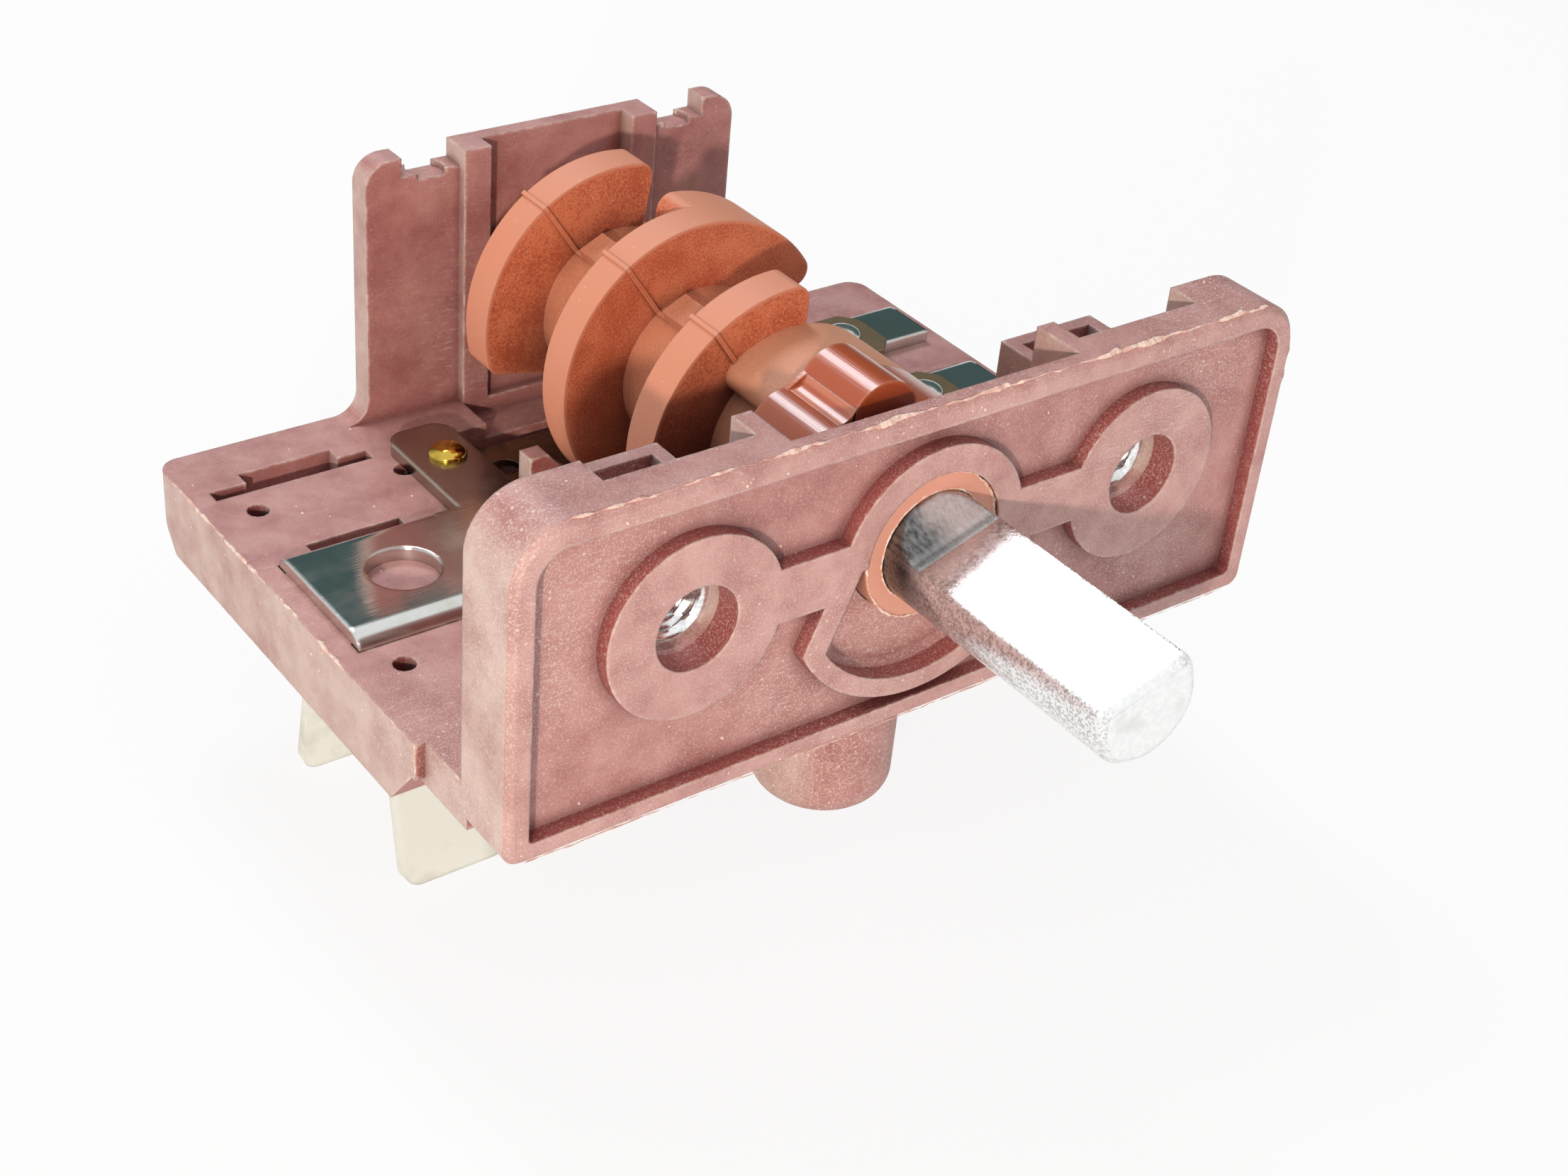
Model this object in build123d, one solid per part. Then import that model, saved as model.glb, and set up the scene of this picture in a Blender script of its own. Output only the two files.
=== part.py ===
from build123d import *
from math import cos, radians, sin, sqrt, tan
import os

# Rotary selector switch with its cover off, in millimetres.
# The origin is on the shaft axis, in the plane of the front rim. X is right, Y goes back, Z is up.

# Front plate
plate_half_width = 23.9
plate_top = 7.95
plate_bottom = -10.25
plate_thickness = 4.1
plate_top_corner = 3.0
plate_bottom_corner = 1.0
plate_edge_slope = 0.35
edge_flash_thickness = 0.3
edge_flash_reach = 0.35
edge_flash_teeth = [(5.4, 0.3), (4.5, 0.9), (3.7, 0.5), (2.9, 1.0), (2.2, 0.4), (1.2, 0.7), (0.3, 0.1)]
rim_width = 1.2
field_depth = 0.9

# Fixing holes, 28 mm apart, with nut plates behind them
fixing_half_pitch = 14.0
fixing_hole_radius = 2.3
fixing_ring_radius = 4.9
nut_wall = 2.2
nut_width = 8.0
nut_height = 8.0
nut_thickness = 1.75
nut_side_clearance = 0.08
nut_back_clearance = 0.15
nut_thread_radius = 1.65
nut_corner = 0.6
nut_box_half_width = 3.15
nut_box_wall = 0.8
nut_box_depth = 4.4
nut_box_top = 4.5

# Raised islands and sunk fan on the front face
centre_ring_radius = 5.6
bar_low = -1.4
bar_high = 1.7
island_fan_radius = 8.55
island_fan_half_width = 5.9
fan_radius = 7.5
fan_half_width = 4.43
fan_flare = 22.3
fan_depth = 0.55
fan_edge_slope = 0.35

# Shaft and its journals
shaft_radius = 3.0
shaft_flat_distance = 1.6
shaft_flat_angle = 108.0
shaft_front = -15.2
shaft_back = 12.0
shaft_chamfer = 0.4
shaft_seat_clearance = 0.02
journal_bore_radius = 4.1
journal_clearance = 0.05
journal_front = 0.25
rear_journal_radius = 4.57
rear_journal_clearance = 0.08
rear_journal_end_gap = 0.1

# Detent wheel
wheel_front = 3.0
wheel_back = 7.2
wheel_base_radius = 6.2
lobe_radius = 2.0
lobe_centre_radius = 6.3
lobe_count = 8
lobe_pitch = 30.0
first_lobe_angle = 105.0
flash_radius = 7.85
flash_thickness = 0.3
flash_flank = 20.0
pocket_front = 2.6
pocket_back_gap = 0.7
pocket_clearance = 0.5
pocket_top_lip = 1.0
pocket_slope_height = 2.2

# Cams
core_radius = 4.7
cam_radius = 8.4
cam_thickness = 2.1
cam_pitch = 8.0
first_cam_front = 12.4
cam_corner = 0.9
parting_angle = 125.0
parting_fin = 0.25
parting_stand = 0.12
sector_radius = 6.2
pad_radius = 5.3
pad_width = 1.6
pad_offset = 9.0
pad_end_gap = 0.8
side_lobe_length = 2.0

# Cam sectors: first angle, last angle, leading flank and trailing flank, in degrees
cam_sectors = [(84, 214, 4, 40), (28, 226, 6, 30), (75, 197, 6, 42)]
side_lobe_sector = (42, 92, 6, 3)
front_sector = (32, 136, 0, 0)

# Small round holes, heads and buttons are drawn with this many sides
small_sides = 12

# Floor and contact trough
floor_top = -7.7
floor_half_width = plate_half_width + 0.5
neck_half_width = plate_half_width - 0.05
neck_back = 7.5
floor_back = 36.4
tray_side_bottom = -9.8
tray_bottom = -12.5
tray_front = 7.8
tray_slant = 2.1
tray_corner = 1.2
trough_half_width = 9.0
trough_front = 8.7
trough_back = 31.6
trough_bottom = -10.9
ledge_top = -8.6
contact_bay_inset = 0.4
partition_thickness = 1.2
partition_half_width = 8.3
partition_top = -5.3
partition_clearance = 0.5

# Rear plate
rear_half_width = 12.1
rear_top = 8.1
rear_front = 34.9
rear_back = 36.4
rear_corner = 1.5
rear_rib_inner = 4.65
rear_rib_outer = 6.3
rear_rib_stand = 0.6
rear_groove_depth = 0.6
rear_notch_outer = 9.9
rear_notch_depth = 1.1
rear_dimple_radius = 1.1
rear_dimple_depth = 0.35
rear_foot_fillet = 1.5

# Terminals
metal = 0.8
slot_edge = 1.3
slot_width = 9.3
slot_outer = floor_half_width - slot_edge
slot_inner = slot_outer - slot_width
slot_first = 15.8
slot_clearance = 0.05
slot_relief_inner = slot_inner + 1.7
slot_relief_outer = slot_outer - 2.1
slot_relief_depth = 1.0
tab_step = 1.5
tab_inner = slot_inner + tab_step
tab_outer = slot_outer - tab_step
tab_bottom = -22.8
tab_shoulder = -12.9
tab_splay = 11.0
tab_corner = 1.0
tab_hole_radius = 0.9
tab_hole_height = 5.3
bend_radius = 1.0
bridge_hole_radius = 1.95
bridge_hole_x = -(slot_inner + 4.4)
peg_hole_radius = 0.62
peg_hole_depth = 1.6
peg_outer_inset = 1.45
peg_inner_offset = 0.95
peg_row_offset = 2.35
arm_outer = slot_inner - 1.0
arm_width = 3.9
arm_inner = arm_outer - arm_width
contact_bay_reach = arm_outer - contact_bay_inset
arm_front = 10.2
arm_back = 32.0
arm_root_front = 16.2
arm_root_back = 23.6
arm_corner = 1.2
side_tab_bottom = -21.3
foot_bend_radius = 1.6
foot_below_bend = 0.3

# Contact springs and rivets
leaf_thickness = 0.4
leaf_width = 4.8
rivet_x = slot_inner + 3.4
fixed_rivet_x = -(arm_inner + 1.7)
leaf_outer = rivet_x + leaf_width / 2
leaf_bend_top = slot_inner - 0.5
leaf_bend_bottom = 10.4
leaf_low_top = -8.85
leaf_overhang = 1.3
leaf_inner = fixed_rivet_x - leaf_overhang
leaf_corner = 1.0
leaf_hole_x = -6.8
leaf_hole_radius = 0.85
leaf_offset = 0.2
rivet_head_radius = 1.1
rivet_head_taper = 36.0
rivet_head_height = 0.55
rivet_shank_half = 0.5
rivet_leaf_gap = 0.12
rivet_hole_clearance = 0.25
foot_front_reach = 1.2
fixed_button_radius = 1.0
fixed_button_height = 0.5
tip_radius = 1.0
contact_gap = 0.45

# Detent plunger and spring in the boss
boss_row = 6.6
boss_radius = 3.9
boss_bottom = -18.85
boss_edge = 1.5
boss_bore_radius = 2.5
boss_floor = 1.4
boss_bore_top = -7.0
plunger_clearance = 0.06
plunger_tip_gap = 0.3
plunger_length = 5.6
plunger_nose_flat = 0.4
plunger_shoulder_drop = 2.0
plunger_roof = 2.4
plunger_wall = 0.6
spring_wire = 0.4
spring_turns = 3.5
spring_side_clearance = 0.15
spring_end_gap = 0.08

# Places that follow from the sizes above
cam_fronts = [first_cam_front + cam_pitch * i for i in range(3)]
slot_rows = [slot_first + cam_pitch * i for i in range(3)]
leaf_rows = [front + leaf_offset for front in cam_fronts]
crest_radius = lobe_centre_radius + lobe_radius
pocket_radius = crest_radius + pocket_clearance
pocket_back = wheel_back + pocket_back_gap
metal_top = floor_top + metal
leaf_top = metal_top + leaf_thickness
tray_back_bottom = floor_back - tray_slant
nut_floor = -nut_height / 2


def polar(radius, angle):
    """A point at an angle from +X towards +Z, as seen from the front."""
    return (radius * cos(radians(angle)), radius * sin(radians(angle)))


def slab(profile, front, back):
    """A profile drawn in X and Z, carried from front to back along Y."""
    behind = Plane(origin=(0, back, 0), x_dir=(1, 0, 0), z_dir=(0, -1, 0))
    return extrude(behind * profile, amount=back - front)


def column(profile, bottom, top):
    """A profile drawn in X and Y, carried from bottom to top."""
    return extrude(Plane.XY.offset(bottom) * profile, amount=top - bottom)


def rail(profile, left, right):
    """A profile drawn in Y and Z, carried from left to right."""
    return extrude(Plane.YZ.offset(left) * profile, amount=right - left)


def block(x, y, z):
    """A box between two limits on each axis."""
    size = (x[1] - x[0], y[1] - y[0], z[1] - z[0])
    middle = (sum(x) / 2, sum(y) / 2, sum(z) / 2)
    return Pos(*middle) * Box(*size)


def small_round(radius):
    """The outline of a small round hole, head or button."""
    return RegularPolygon(radius, small_sides)


def rod(radius, front, back, x=0.0, z=0.0):
    """A round bar along Y."""
    return slab(Pos(x, z) * Circle(radius), front, back)


def plain_rectangle(x, z):
    """A rectangle between two limits on each axis of a drawing."""
    middle = (sum(x) / 2, sum(z) / 2)
    return Pos(*middle) * Rectangle(x[1] - x[0], z[1] - z[0])


def plate_outline(inset=0.0):
    """The front plate seen from the front, or the edge of its sunk field."""
    half = plate_half_width - inset
    outline = plain_rectangle((-half, half), (plate_bottom + inset, plate_top - inset))
    high = outline.vertices().sort_by(Axis.Y)[2:]
    low = outline.vertices().sort_by(Axis.Y)[:2]
    outline = fillet(high, max(plate_top_corner - inset, 0.3))
    low = outline.vertices().sort_by(Axis.Y)[:2]
    return fillet(low, max(plate_bottom_corner - inset, 0.3))


def downward_fan(radius, half_width):
    """A shape that widens downwards from the shaft axis and ends in an arc about it."""
    spread = tan(radians(fan_flare))
    a = 1 + spread ** 2
    b = half_width * spread
    drop = (sqrt(b ** 2 - a * (half_width ** 2 - radius ** 2)) - b) / a
    side = half_width + spread * drop
    rim = ThreePointArc((-side, -drop), (0, -radius), (side, -drop))
    sides = [Line((half_width, 0), (-half_width, 0)), Line((-half_width, 0), (-side, -drop)),
             rim, Line((side, -drop), (half_width, 0))]
    return make_face(sides)


def islands():
    """The rings, bars and fan that stand level with the rim of the front plate."""
    pattern = Circle(centre_ring_radius) + downward_fan(island_fan_radius, island_fan_half_width)
    for side in (-1, 1):
        pattern += Pos(side * fixing_half_pitch, 0) * Circle(fixing_ring_radius)
    pattern += plain_rectangle((-fixing_half_pitch, fixing_half_pitch), (bar_low, bar_high))
    return pattern


def front_plate():
    """The front plate with its sunk field, islands and fan."""
    plate = slab(plate_outline(), 0, plate_thickness)
    plate = chamfer(plate.faces().sort_by(Axis.Y)[0].edges(), plate_edge_slope)
    plate -= slab(plate_outline(rim_width) - islands(), -1, field_depth)
    hollow = slab(downward_fan(fan_radius, fan_half_width), -1, field_depth + fan_depth)
    hollow = chamfer(hollow.faces().sort_by(Axis.Y)[-1].edges(), fan_edge_slope)
    return plate - hollow


def wheel_pocket():
    """The space for the detent wheel, open at the top and sloped where the wheel goes in."""
    walls = Circle(pocket_radius) + plain_rectangle((-pocket_radius, pocket_radius), (0, plate_top + 1))
    pocket = slab(walls, pocket_front, pocket_back)
    low = plate_top - pocket_slope_height
    lead_in = Polyline((pocket_front, low), (pocket_top_lip, plate_top),
                       (pocket_top_lip, plate_top + 1), (pocket_front + 1, plate_top + 1),
                       (pocket_front + 1, low), close=True)
    return pocket + rail(make_face(lead_in), -pocket_radius, pocket_radius)


def nut_box(side):
    """The moulded box behind a fixing hole, which backs the nut plate and clears the screw's end."""
    middle = side * fixing_half_pitch
    outer = (middle - nut_box_half_width, middle + nut_box_half_width)
    back = plate_thickness + nut_box_depth
    return block(outer, (plate_thickness, back), (floor_top - 0.5, nut_box_top))


def nut_space(side):
    """The channel for the nut plate, the space behind it and the fixing hole."""
    middle = side * fixing_half_pitch
    half = nut_width / 2 + nut_side_clearance
    channel = block((middle - half, middle + half), (nut_wall, plate_thickness), (nut_floor, plate_top + 1))
    inner = nut_box_half_width - nut_box_wall
    back = plate_thickness + nut_box_depth - nut_box_wall
    behind = block((middle - inner, middle + inner), (nut_wall, back), (nut_floor, nut_box_top + 1))
    return channel + behind + rod(fixing_hole_radius, -1, nut_wall + 0.1, x=middle)


def floor_tray():
    """The floor, with its narrower neck at the front and the slanted underside."""
    front = plate_thickness - 0.5
    neck = block((-neck_half_width, neck_half_width), (front, neck_back + 0.5), (plate_bottom, floor_top))
    section = Polyline((neck_back, floor_top), (floor_back, floor_top), (floor_back, tray_side_bottom),
                       (tray_back_bottom, tray_bottom), (tray_front + tray_slant, tray_bottom),
                       (tray_front, tray_side_bottom), (neck_back, tray_side_bottom), close=True)
    tray = rail(make_face(section), -floor_half_width, floor_half_width)
    edge = plain_rectangle((-floor_half_width, floor_half_width), (neck_back, floor_back))
    edge = fillet(edge.vertices().sort_by(Axis.Y)[2:], tray_corner)
    return neck + (tray & column(edge, tray_bottom - 1, floor_top + 1))


def rear_plate():
    """The rear plate, with two upright ribs beside the bearing groove and a notch outside each."""
    outline = plain_rectangle((-rear_half_width, rear_half_width), (floor_top - 0.5, rear_top))
    outline = fillet(outline.vertices().sort_by(Axis.Y)[2:], rear_corner)
    plate = slab(outline, rear_front, rear_back)
    for side in (-1, 1):
        rib = sorted((side * rear_rib_inner, side * rear_rib_outer))
        plate += block(rib, (rear_front - rear_rib_stand, rear_back), (floor_top - 0.5, rear_top))
        notch = sorted((side * rear_rib_outer, side * rear_notch_outer))
        gap = (rear_top - rear_notch_depth, rear_top + 1)
        plate -= block(notch, (rear_front - 1, rear_back + 1), gap)
        dimple = Pos(sum(notch) / 2, (rear_front + rear_back) / 2) * Circle(rear_dimple_radius)
        plate -= column(dimple, gap[0] - rear_dimple_depth, gap[1])
        plate += rear_foot(side)
    return plate


def rear_foot(side):
    """The rounded inner corner where a side of the rear plate meets the floor."""
    near = side * (rear_half_width - 0.2)
    far = side * (rear_half_width + rear_foot_fillet)
    bottom = floor_top - 0.5
    corner = plain_rectangle(sorted((near, far)), (bottom, floor_top + rear_foot_fillet))
    corner -= Pos(far, floor_top + rear_foot_fillet) * Circle(rear_foot_fillet)
    return slab(corner, rear_front, rear_back)


def rear_groove():
    """The upright groove that carries the rear journal."""
    seat = Circle(rear_rib_inner) + plain_rectangle((-rear_rib_inner, rear_rib_inner), (0, rear_top + 1))
    return slab(seat, rear_front - rear_rib_stand - 1, rear_front + rear_groove_depth)


def contact_trough():
    """The trough under the cams with a bay on each side for each contact spring."""
    half = trough_half_width
    space = block((-half, half), (trough_front, trough_back), (trough_bottom, floor_top + 1))
    rib_face = rear_front - rear_rib_stand
    space += block((-rear_rib_outer, rear_rib_outer), (trough_back - 1, rib_face), (ledge_top, floor_top + 1))
    reach = leaf_width / 2 + 0.35
    for row in leaf_rows:
        sides = (-contact_bay_reach, leaf_bend_top - 0.75)
        space += block(sides, (row - reach, row + reach), (trough_bottom, floor_top + 1))
    return space


def partitions():
    """The two low walls between the poles, hollowed to clear the cams."""
    walls = None
    for row in (slot_rows[0], slot_rows[1]):
        middle = row + metal / 2
        sides = (middle - partition_thickness / 2, middle + partition_thickness / 2)
        across = (-partition_half_width, partition_half_width)
        wall = block(across, sides, (trough_bottom - 0.3, partition_top))
        wall -= rod(cam_radius + partition_clearance, sides[0] - 1, sides[1] + 1)
        walls = wall if walls is None else walls + wall
    return walls


def terminal_slots(side):
    """The three slots for terminal legs. On the left each has a relief behind its middle."""
    half = metal / 2 + slot_clearance
    cuts = None
    for row in slot_rows:
        reach = sorted((side * (slot_inner - slot_clearance), side * (slot_outer + slot_clearance)))
        relief = sorted((side * slot_relief_inner, side * slot_relief_outer))
        slot = block(reach, (row - half, row + half), (tray_bottom - 1, floor_top + 1))
        if side < 0:
            slot += block(relief, (row, row + half + slot_relief_depth), (floor_top - 2.4, floor_top + 1))
        else:
            lead = foot_bend_radius - metal + slot_clearance
            slot += block(reach, (row - half - lead, row), (floor_top - lead, floor_top + 1))
        cuts = slot if cuts is None else cuts + slot
    return cuts


def peg_holes(side):
    """The small blind holes in the floor beside the slots."""
    holes = None
    for row in slot_rows:
        for across in (slot_outer - peg_outer_inset, slot_inner - peg_inner_offset):
            spot = Pos(side * across, row - peg_row_offset) * small_round(peg_hole_radius)
            hole = column(spot, floor_top - peg_hole_depth, floor_top + 1)
            holes = hole if holes is None else holes + hole
    return holes


def detent_boss():
    """The round boss under the detent wheel, which holds the plunger and its spring."""
    boss = column(Pos(0, boss_row) * Circle(boss_radius), boss_bottom, plate_bottom + 1)
    return fillet(boss.faces().sort_by(Axis.Z)[0].edges(), boss_edge)


def edge_flash():
    """The broken moulding flash on the right-hand edge of the front plate."""
    outer = [(plate_half_width + edge_flash_reach * reach, z) for z, reach in edge_flash_teeth]
    root = plate_half_width - 0.5
    ragged = make_face(Polyline(*outer, (root, outer[-1][1]), (root, outer[0][1]), close=True))
    return slab(ragged, plate_edge_slope + 0.1, plate_edge_slope + 0.1 + edge_flash_thickness)


def make_base():
    """The moulded base: front plate, floor, rear plate and boss in one piece."""
    base = front_plate() + floor_tray() + rear_plate() + detent_boss() + edge_flash()
    for side in (-1, 1):
        base += nut_box(side)
    base -= contact_trough()
    base += partitions()
    base -= wheel_pocket()
    base -= rear_groove()
    for side in (-1, 1):
        base -= nut_space(side)
        base -= terminal_slots(side)
        base -= peg_holes(side)
    base -= rod(journal_bore_radius, -1, plate_thickness)
    bore = Pos(0, boss_row) * Circle(boss_bore_radius)
    base -= column(bore, boss_bottom + boss_floor, boss_bore_top)
    return base


def cam_face(first, last, lead, trail, radius=cam_radius):
    """A cam seen from the front: full radius from first to last, with a flank at each end."""
    start = polar(radius, first)
    end = polar(radius, last)
    low = core_radius - 0.4
    rim = ThreePointArc(start, polar(radius, (first + last) / 2), end)
    outer = [rim, Line(end, polar(low, last + trail)), Line(polar(low, last + trail), (0, 0)),
             Line((0, 0), polar(low, first - lead)), Line(polar(low, first - lead), start)]
    face = make_face(outer)
    corners = [v for v in face.vertices() if v.distance_to(Vertex(0, 0, 0)) > radius - 0.1]
    return fillet(corners, cam_corner) + Circle(core_radius)


def wheel_face():
    """The detent wheel seen from the front: a round base with a row of half-round lobes."""
    face = Circle(wheel_base_radius)
    for i in range(lobe_count):
        face += Pos(*polar(lobe_centre_radius, first_lobe_angle + lobe_pitch * i)) * Circle(lobe_radius)
    return face


def radial_web(radius, thickness, front, back, angle=parting_angle):
    """A thin wall that stands out from the core, by default along the parting line."""
    wall = block((0, radius), (front, back), (-thickness / 2, thickness / 2))
    return Rot(0, -angle, 0) * wall


def make_camshaft():
    """The moulded camshaft: front journal, detent wheel, core, cams and rear journal."""
    cams = [cam_face(*sector) for sector in cam_sectors]
    body = rod(journal_bore_radius - journal_clearance, journal_front, wheel_front)
    body += slab(wheel_face(), wheel_front, wheel_back)
    last = first_lobe_angle + lobe_pitch * (lobe_count - 1)
    flash = cam_face(first_lobe_angle, last, flash_flank, flash_flank, flash_radius)
    body += slab(flash, wheel_back - flash_thickness, wheel_back)
    rear_end = rear_front + rear_groove_depth - rear_journal_end_gap
    body += rod(core_radius, wheel_back, rear_front - rear_rib_stand - 0.6)
    body += rod(rear_journal_radius, cam_fronts[2], rear_end)
    for front, cam in zip(cam_fronts, cams):
        body += slab(cam, front, front + cam_thickness)
        stand = parting_stand
        body += radial_web(cam_radius + stand, parting_fin, front - stand, front + cam_thickness + stand)
    side_front = cam_fronts[1] + cam_thickness
    body += slab(cam_face(*side_lobe_sector), side_front, side_front + side_lobe_length)
    body += slab(cam_face(*front_sector, sector_radius), wheel_back, cam_fronts[0])
    body += radial_web(core_radius + parting_stand, parting_fin, wheel_back, cam_fronts[2])
    for front in cam_fronts[:2]:
        ends = (front + cam_thickness + side_lobe_length + pad_end_gap, front + cam_pitch - pad_end_gap)
        body += radial_web(pad_radius, pad_width, *ends, parting_angle - pad_offset)
    return body - shaft_blank(shaft_seat_clearance, 0.1)


def shaft_blank(grow=0.0, longer=0.0):
    """The D-shaped bar of the shaft, or the slightly larger hole that takes it."""
    beyond = Pos(shaft_radius + shaft_flat_distance + grow, 0) * Rectangle(2 * shaft_radius, 4 * shaft_radius)
    round_bar = Circle(shaft_radius + grow) - Rot(0, 0, shaft_flat_angle) * beyond
    return slab(round_bar, shaft_front, shaft_back + longer)


def make_shaft():
    """The steel shaft, flattened on one side, with a chamfered tip."""
    bar = shaft_blank()
    return chamfer(bar.faces().sort_by(Axis.Y)[0].edges(), shaft_chamfer)


def make_nut(side):
    """A square nut plate, threaded for the fixing screw."""
    middle = side * fixing_half_pitch
    across = (middle - nut_width / 2, middle + nut_width / 2)
    face = chamfer(plain_rectangle(across, (nut_floor, nut_floor + nut_height)).vertices(), nut_corner)
    return slab(face - Pos(middle, 0) * Circle(nut_thread_radius), nut_wall, nut_wall + nut_thickness)


def tab_blade(row, side, splay, bottom):
    """A terminal leg: wide through the floor, then a narrower tab with rounded corners and a hole."""
    reach = sorted((side * slot_inner, side * slot_outer))
    wide = plain_rectangle(reach, (tab_shoulder, metal_top - 2 * metal))
    ends = sorted((side * tab_inner, side * tab_outer))
    narrow = plain_rectangle(ends, (bottom, tab_shoulder))
    narrow = fillet(narrow.vertices().sort_by(Axis.Y)[:2], tab_corner)
    middle = side * (tab_inner + tab_outer) / 2
    narrow -= Pos(middle, bottom + tab_hole_height) * small_round(tab_hole_radius)
    leg = slab(wide, row - metal / 2, row + metal / 2)
    blade = slab(narrow, row - metal / 2, row + metal / 2)
    hinge = (0, row, tab_shoulder)
    blade = Pos(*hinge) * Rot(splay, 0, 0) * Pos(0, -row, -tab_shoulder) * blade
    joint = block(ends, (row - metal / 2, row + metal / 2), (tab_shoulder - 0.15, tab_shoulder))
    return leg + blade + joint


def make_bridge_terminal():
    """The plated terminal on the left: two tabs, a plate across the floor and the contact arm."""
    front = slot_rows[0] - metal / 2
    back = slot_rows[1] + metal / 2
    low = metal_top - 2 * metal
    side = plain_rectangle((front, back), (low, metal_top))
    side = fillet(side.vertices().sort_by(Axis.Y)[2:], bend_radius)
    inside = plain_rectangle((front + metal, back - metal), (low - 1, floor_top))
    shell = rail(make_face((side - inside).wires()[0]), -slot_outer, -slot_inner)
    for row, splay in ((slot_rows[0], tab_splay), (slot_rows[1], -tab_splay)):
        shell += tab_blade(row, -1, -splay, tab_bottom)
    opening = Pos(bridge_hole_x, (front + back) / 2) * Circle(bridge_hole_radius)
    shell -= column(opening, floor_top - 1, metal_top + 1)
    arm = plain_rectangle((-arm_outer, -arm_inner), (arm_front, arm_back))
    arm = fillet(arm.vertices(), arm_corner)
    arm += plain_rectangle((-slot_inner - 0.5, -arm_outer + arm_corner), (arm_root_front, arm_root_back))
    for row in leaf_rows:
        arm -= Pos(fixed_rivet_x, row) * shank_square()
    return shell + column(arm, floor_top, metal_top)


def make_side_terminal(row, leaf_row):
    """A right-hand terminal: a foot on the floor and one leg with a straight tab."""
    front = leaf_row - foot_front_reach
    back = row + metal / 2
    low = metal_top - foot_bend_radius - foot_below_bend
    side = plain_rectangle((front, back), (low, metal_top))
    side = fillet(side.vertices().sort_by(Axis.Y)[2:].sort_by(Axis.X)[-1], foot_bend_radius)
    inside = plain_rectangle((front - 1, back - metal), (low - 1, floor_top))
    inside = fillet(inside.vertices().sort_by(Axis.Y)[2:].sort_by(Axis.X)[-1], foot_bend_radius - metal)
    foot = rail(side - inside, slot_inner, slot_outer)
    foot += tab_blade(row, 1, 0, side_tab_bottom)
    return foot - column(Pos(rivet_x, leaf_row) * shank_square(), floor_top - 1, metal_top + 1)


def shank_square(grow=0.0):
    """The square section of a rivet's shank, or the larger hole that clears it."""
    return Rectangle(2 * (rivet_shank_half + grow), 2 * (rivet_shank_half + grow))


def rivet(x, y, seat, reach):
    """A rivet: a raised head on its seat and a square shank below it."""
    head = extrude(small_round(rivet_head_radius), amount=rivet_head_height, taper=rivet_head_taper)
    return Pos(x, y, seat) * head + column(Pos(x, y) * shank_square(), seat - reach, seat)


def make_leaf(row):
    """A contact spring: flat on its terminal, then down and across under the cams."""
    bottom = leaf_top - leaf_thickness
    low = leaf_low_top - leaf_thickness
    middle = [(leaf_outer, bottom), (leaf_bend_top, bottom), (leaf_bend_bottom, low), (leaf_inner, low)]
    upper = [(x, z + leaf_thickness) for x, z in reversed(middle)]
    section = make_face(Polyline(*middle, *upper, close=True))
    bends = [v for v in section.vertices() if leaf_inner + 1 < v.X < leaf_outer - 1]
    section = fillet(bends, 0.6)
    strip = slab(section, row - leaf_width / 2, row + leaf_width / 2)
    corners = strip.edges().filter_by(Axis.Z).sort_by(Axis.X)
    strip = chamfer(corners[:2] + corners[-2:], leaf_corner)
    strip -= column(Pos(leaf_hole_x, row) * small_round(leaf_hole_radius), low - 1, leaf_low_top + 1)
    return strip - column(Pos(rivet_x, row) * shank_square(rivet_hole_clearance), bottom - 1, leaf_top + 1)


def make_contact_tip(row):
    """The silver tip on the free end of a contact spring."""
    top = floor_top - fixed_button_height - contact_gap
    return column(Pos(fixed_rivet_x, row) * small_round(tip_radius), leaf_low_top, top)


def make_fixed_rivet(row):
    """A fixed contact: a raised head above the arm and a button below it."""
    spot = Pos(fixed_rivet_x, row) * small_round(fixed_button_radius)
    button = column(spot, floor_top - fixed_button_height, floor_top)
    return rivet(fixed_rivet_x, row, metal_top, metal) + button


def make_plunger():
    """The hollow plunger that rides on the detent wheel, with a conical nose."""
    radius = boss_bore_radius - plunger_clearance
    top = -crest_radius - plunger_tip_gap
    bore = radius - plunger_wall
    outline = Polyline((0, top), (plunger_nose_flat, top), (radius, top - plunger_shoulder_drop),
                       (radius, top - plunger_length), (bore, top - plunger_length),
                       (bore, top - plunger_roof), (0, top - plunger_roof), close=True)
    return Pos(0, boss_row, 0) * revolve(Plane.XZ * make_face(outline), Axis.Z)


def make_spring():
    """The coil spring, of square wire, between the floor of the boss and the plunger."""
    radius = boss_bore_radius - plunger_clearance - plunger_wall - spring_side_clearance - spring_wire / 2
    bottom = boss_bottom + boss_floor + spring_end_gap + spring_wire / 2
    top = -crest_radius - plunger_tip_gap - plunger_roof - spring_end_gap - spring_wire / 2
    height = top - bottom
    path = Helix(pitch=height / spring_turns, height=height, radius=radius)
    start = Plane(origin=path @ 0, z_dir=path % 0)
    return Pos(0, boss_row, bottom) * sweep(start * Rectangle(spring_wire, spring_wire), path=path)


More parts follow.
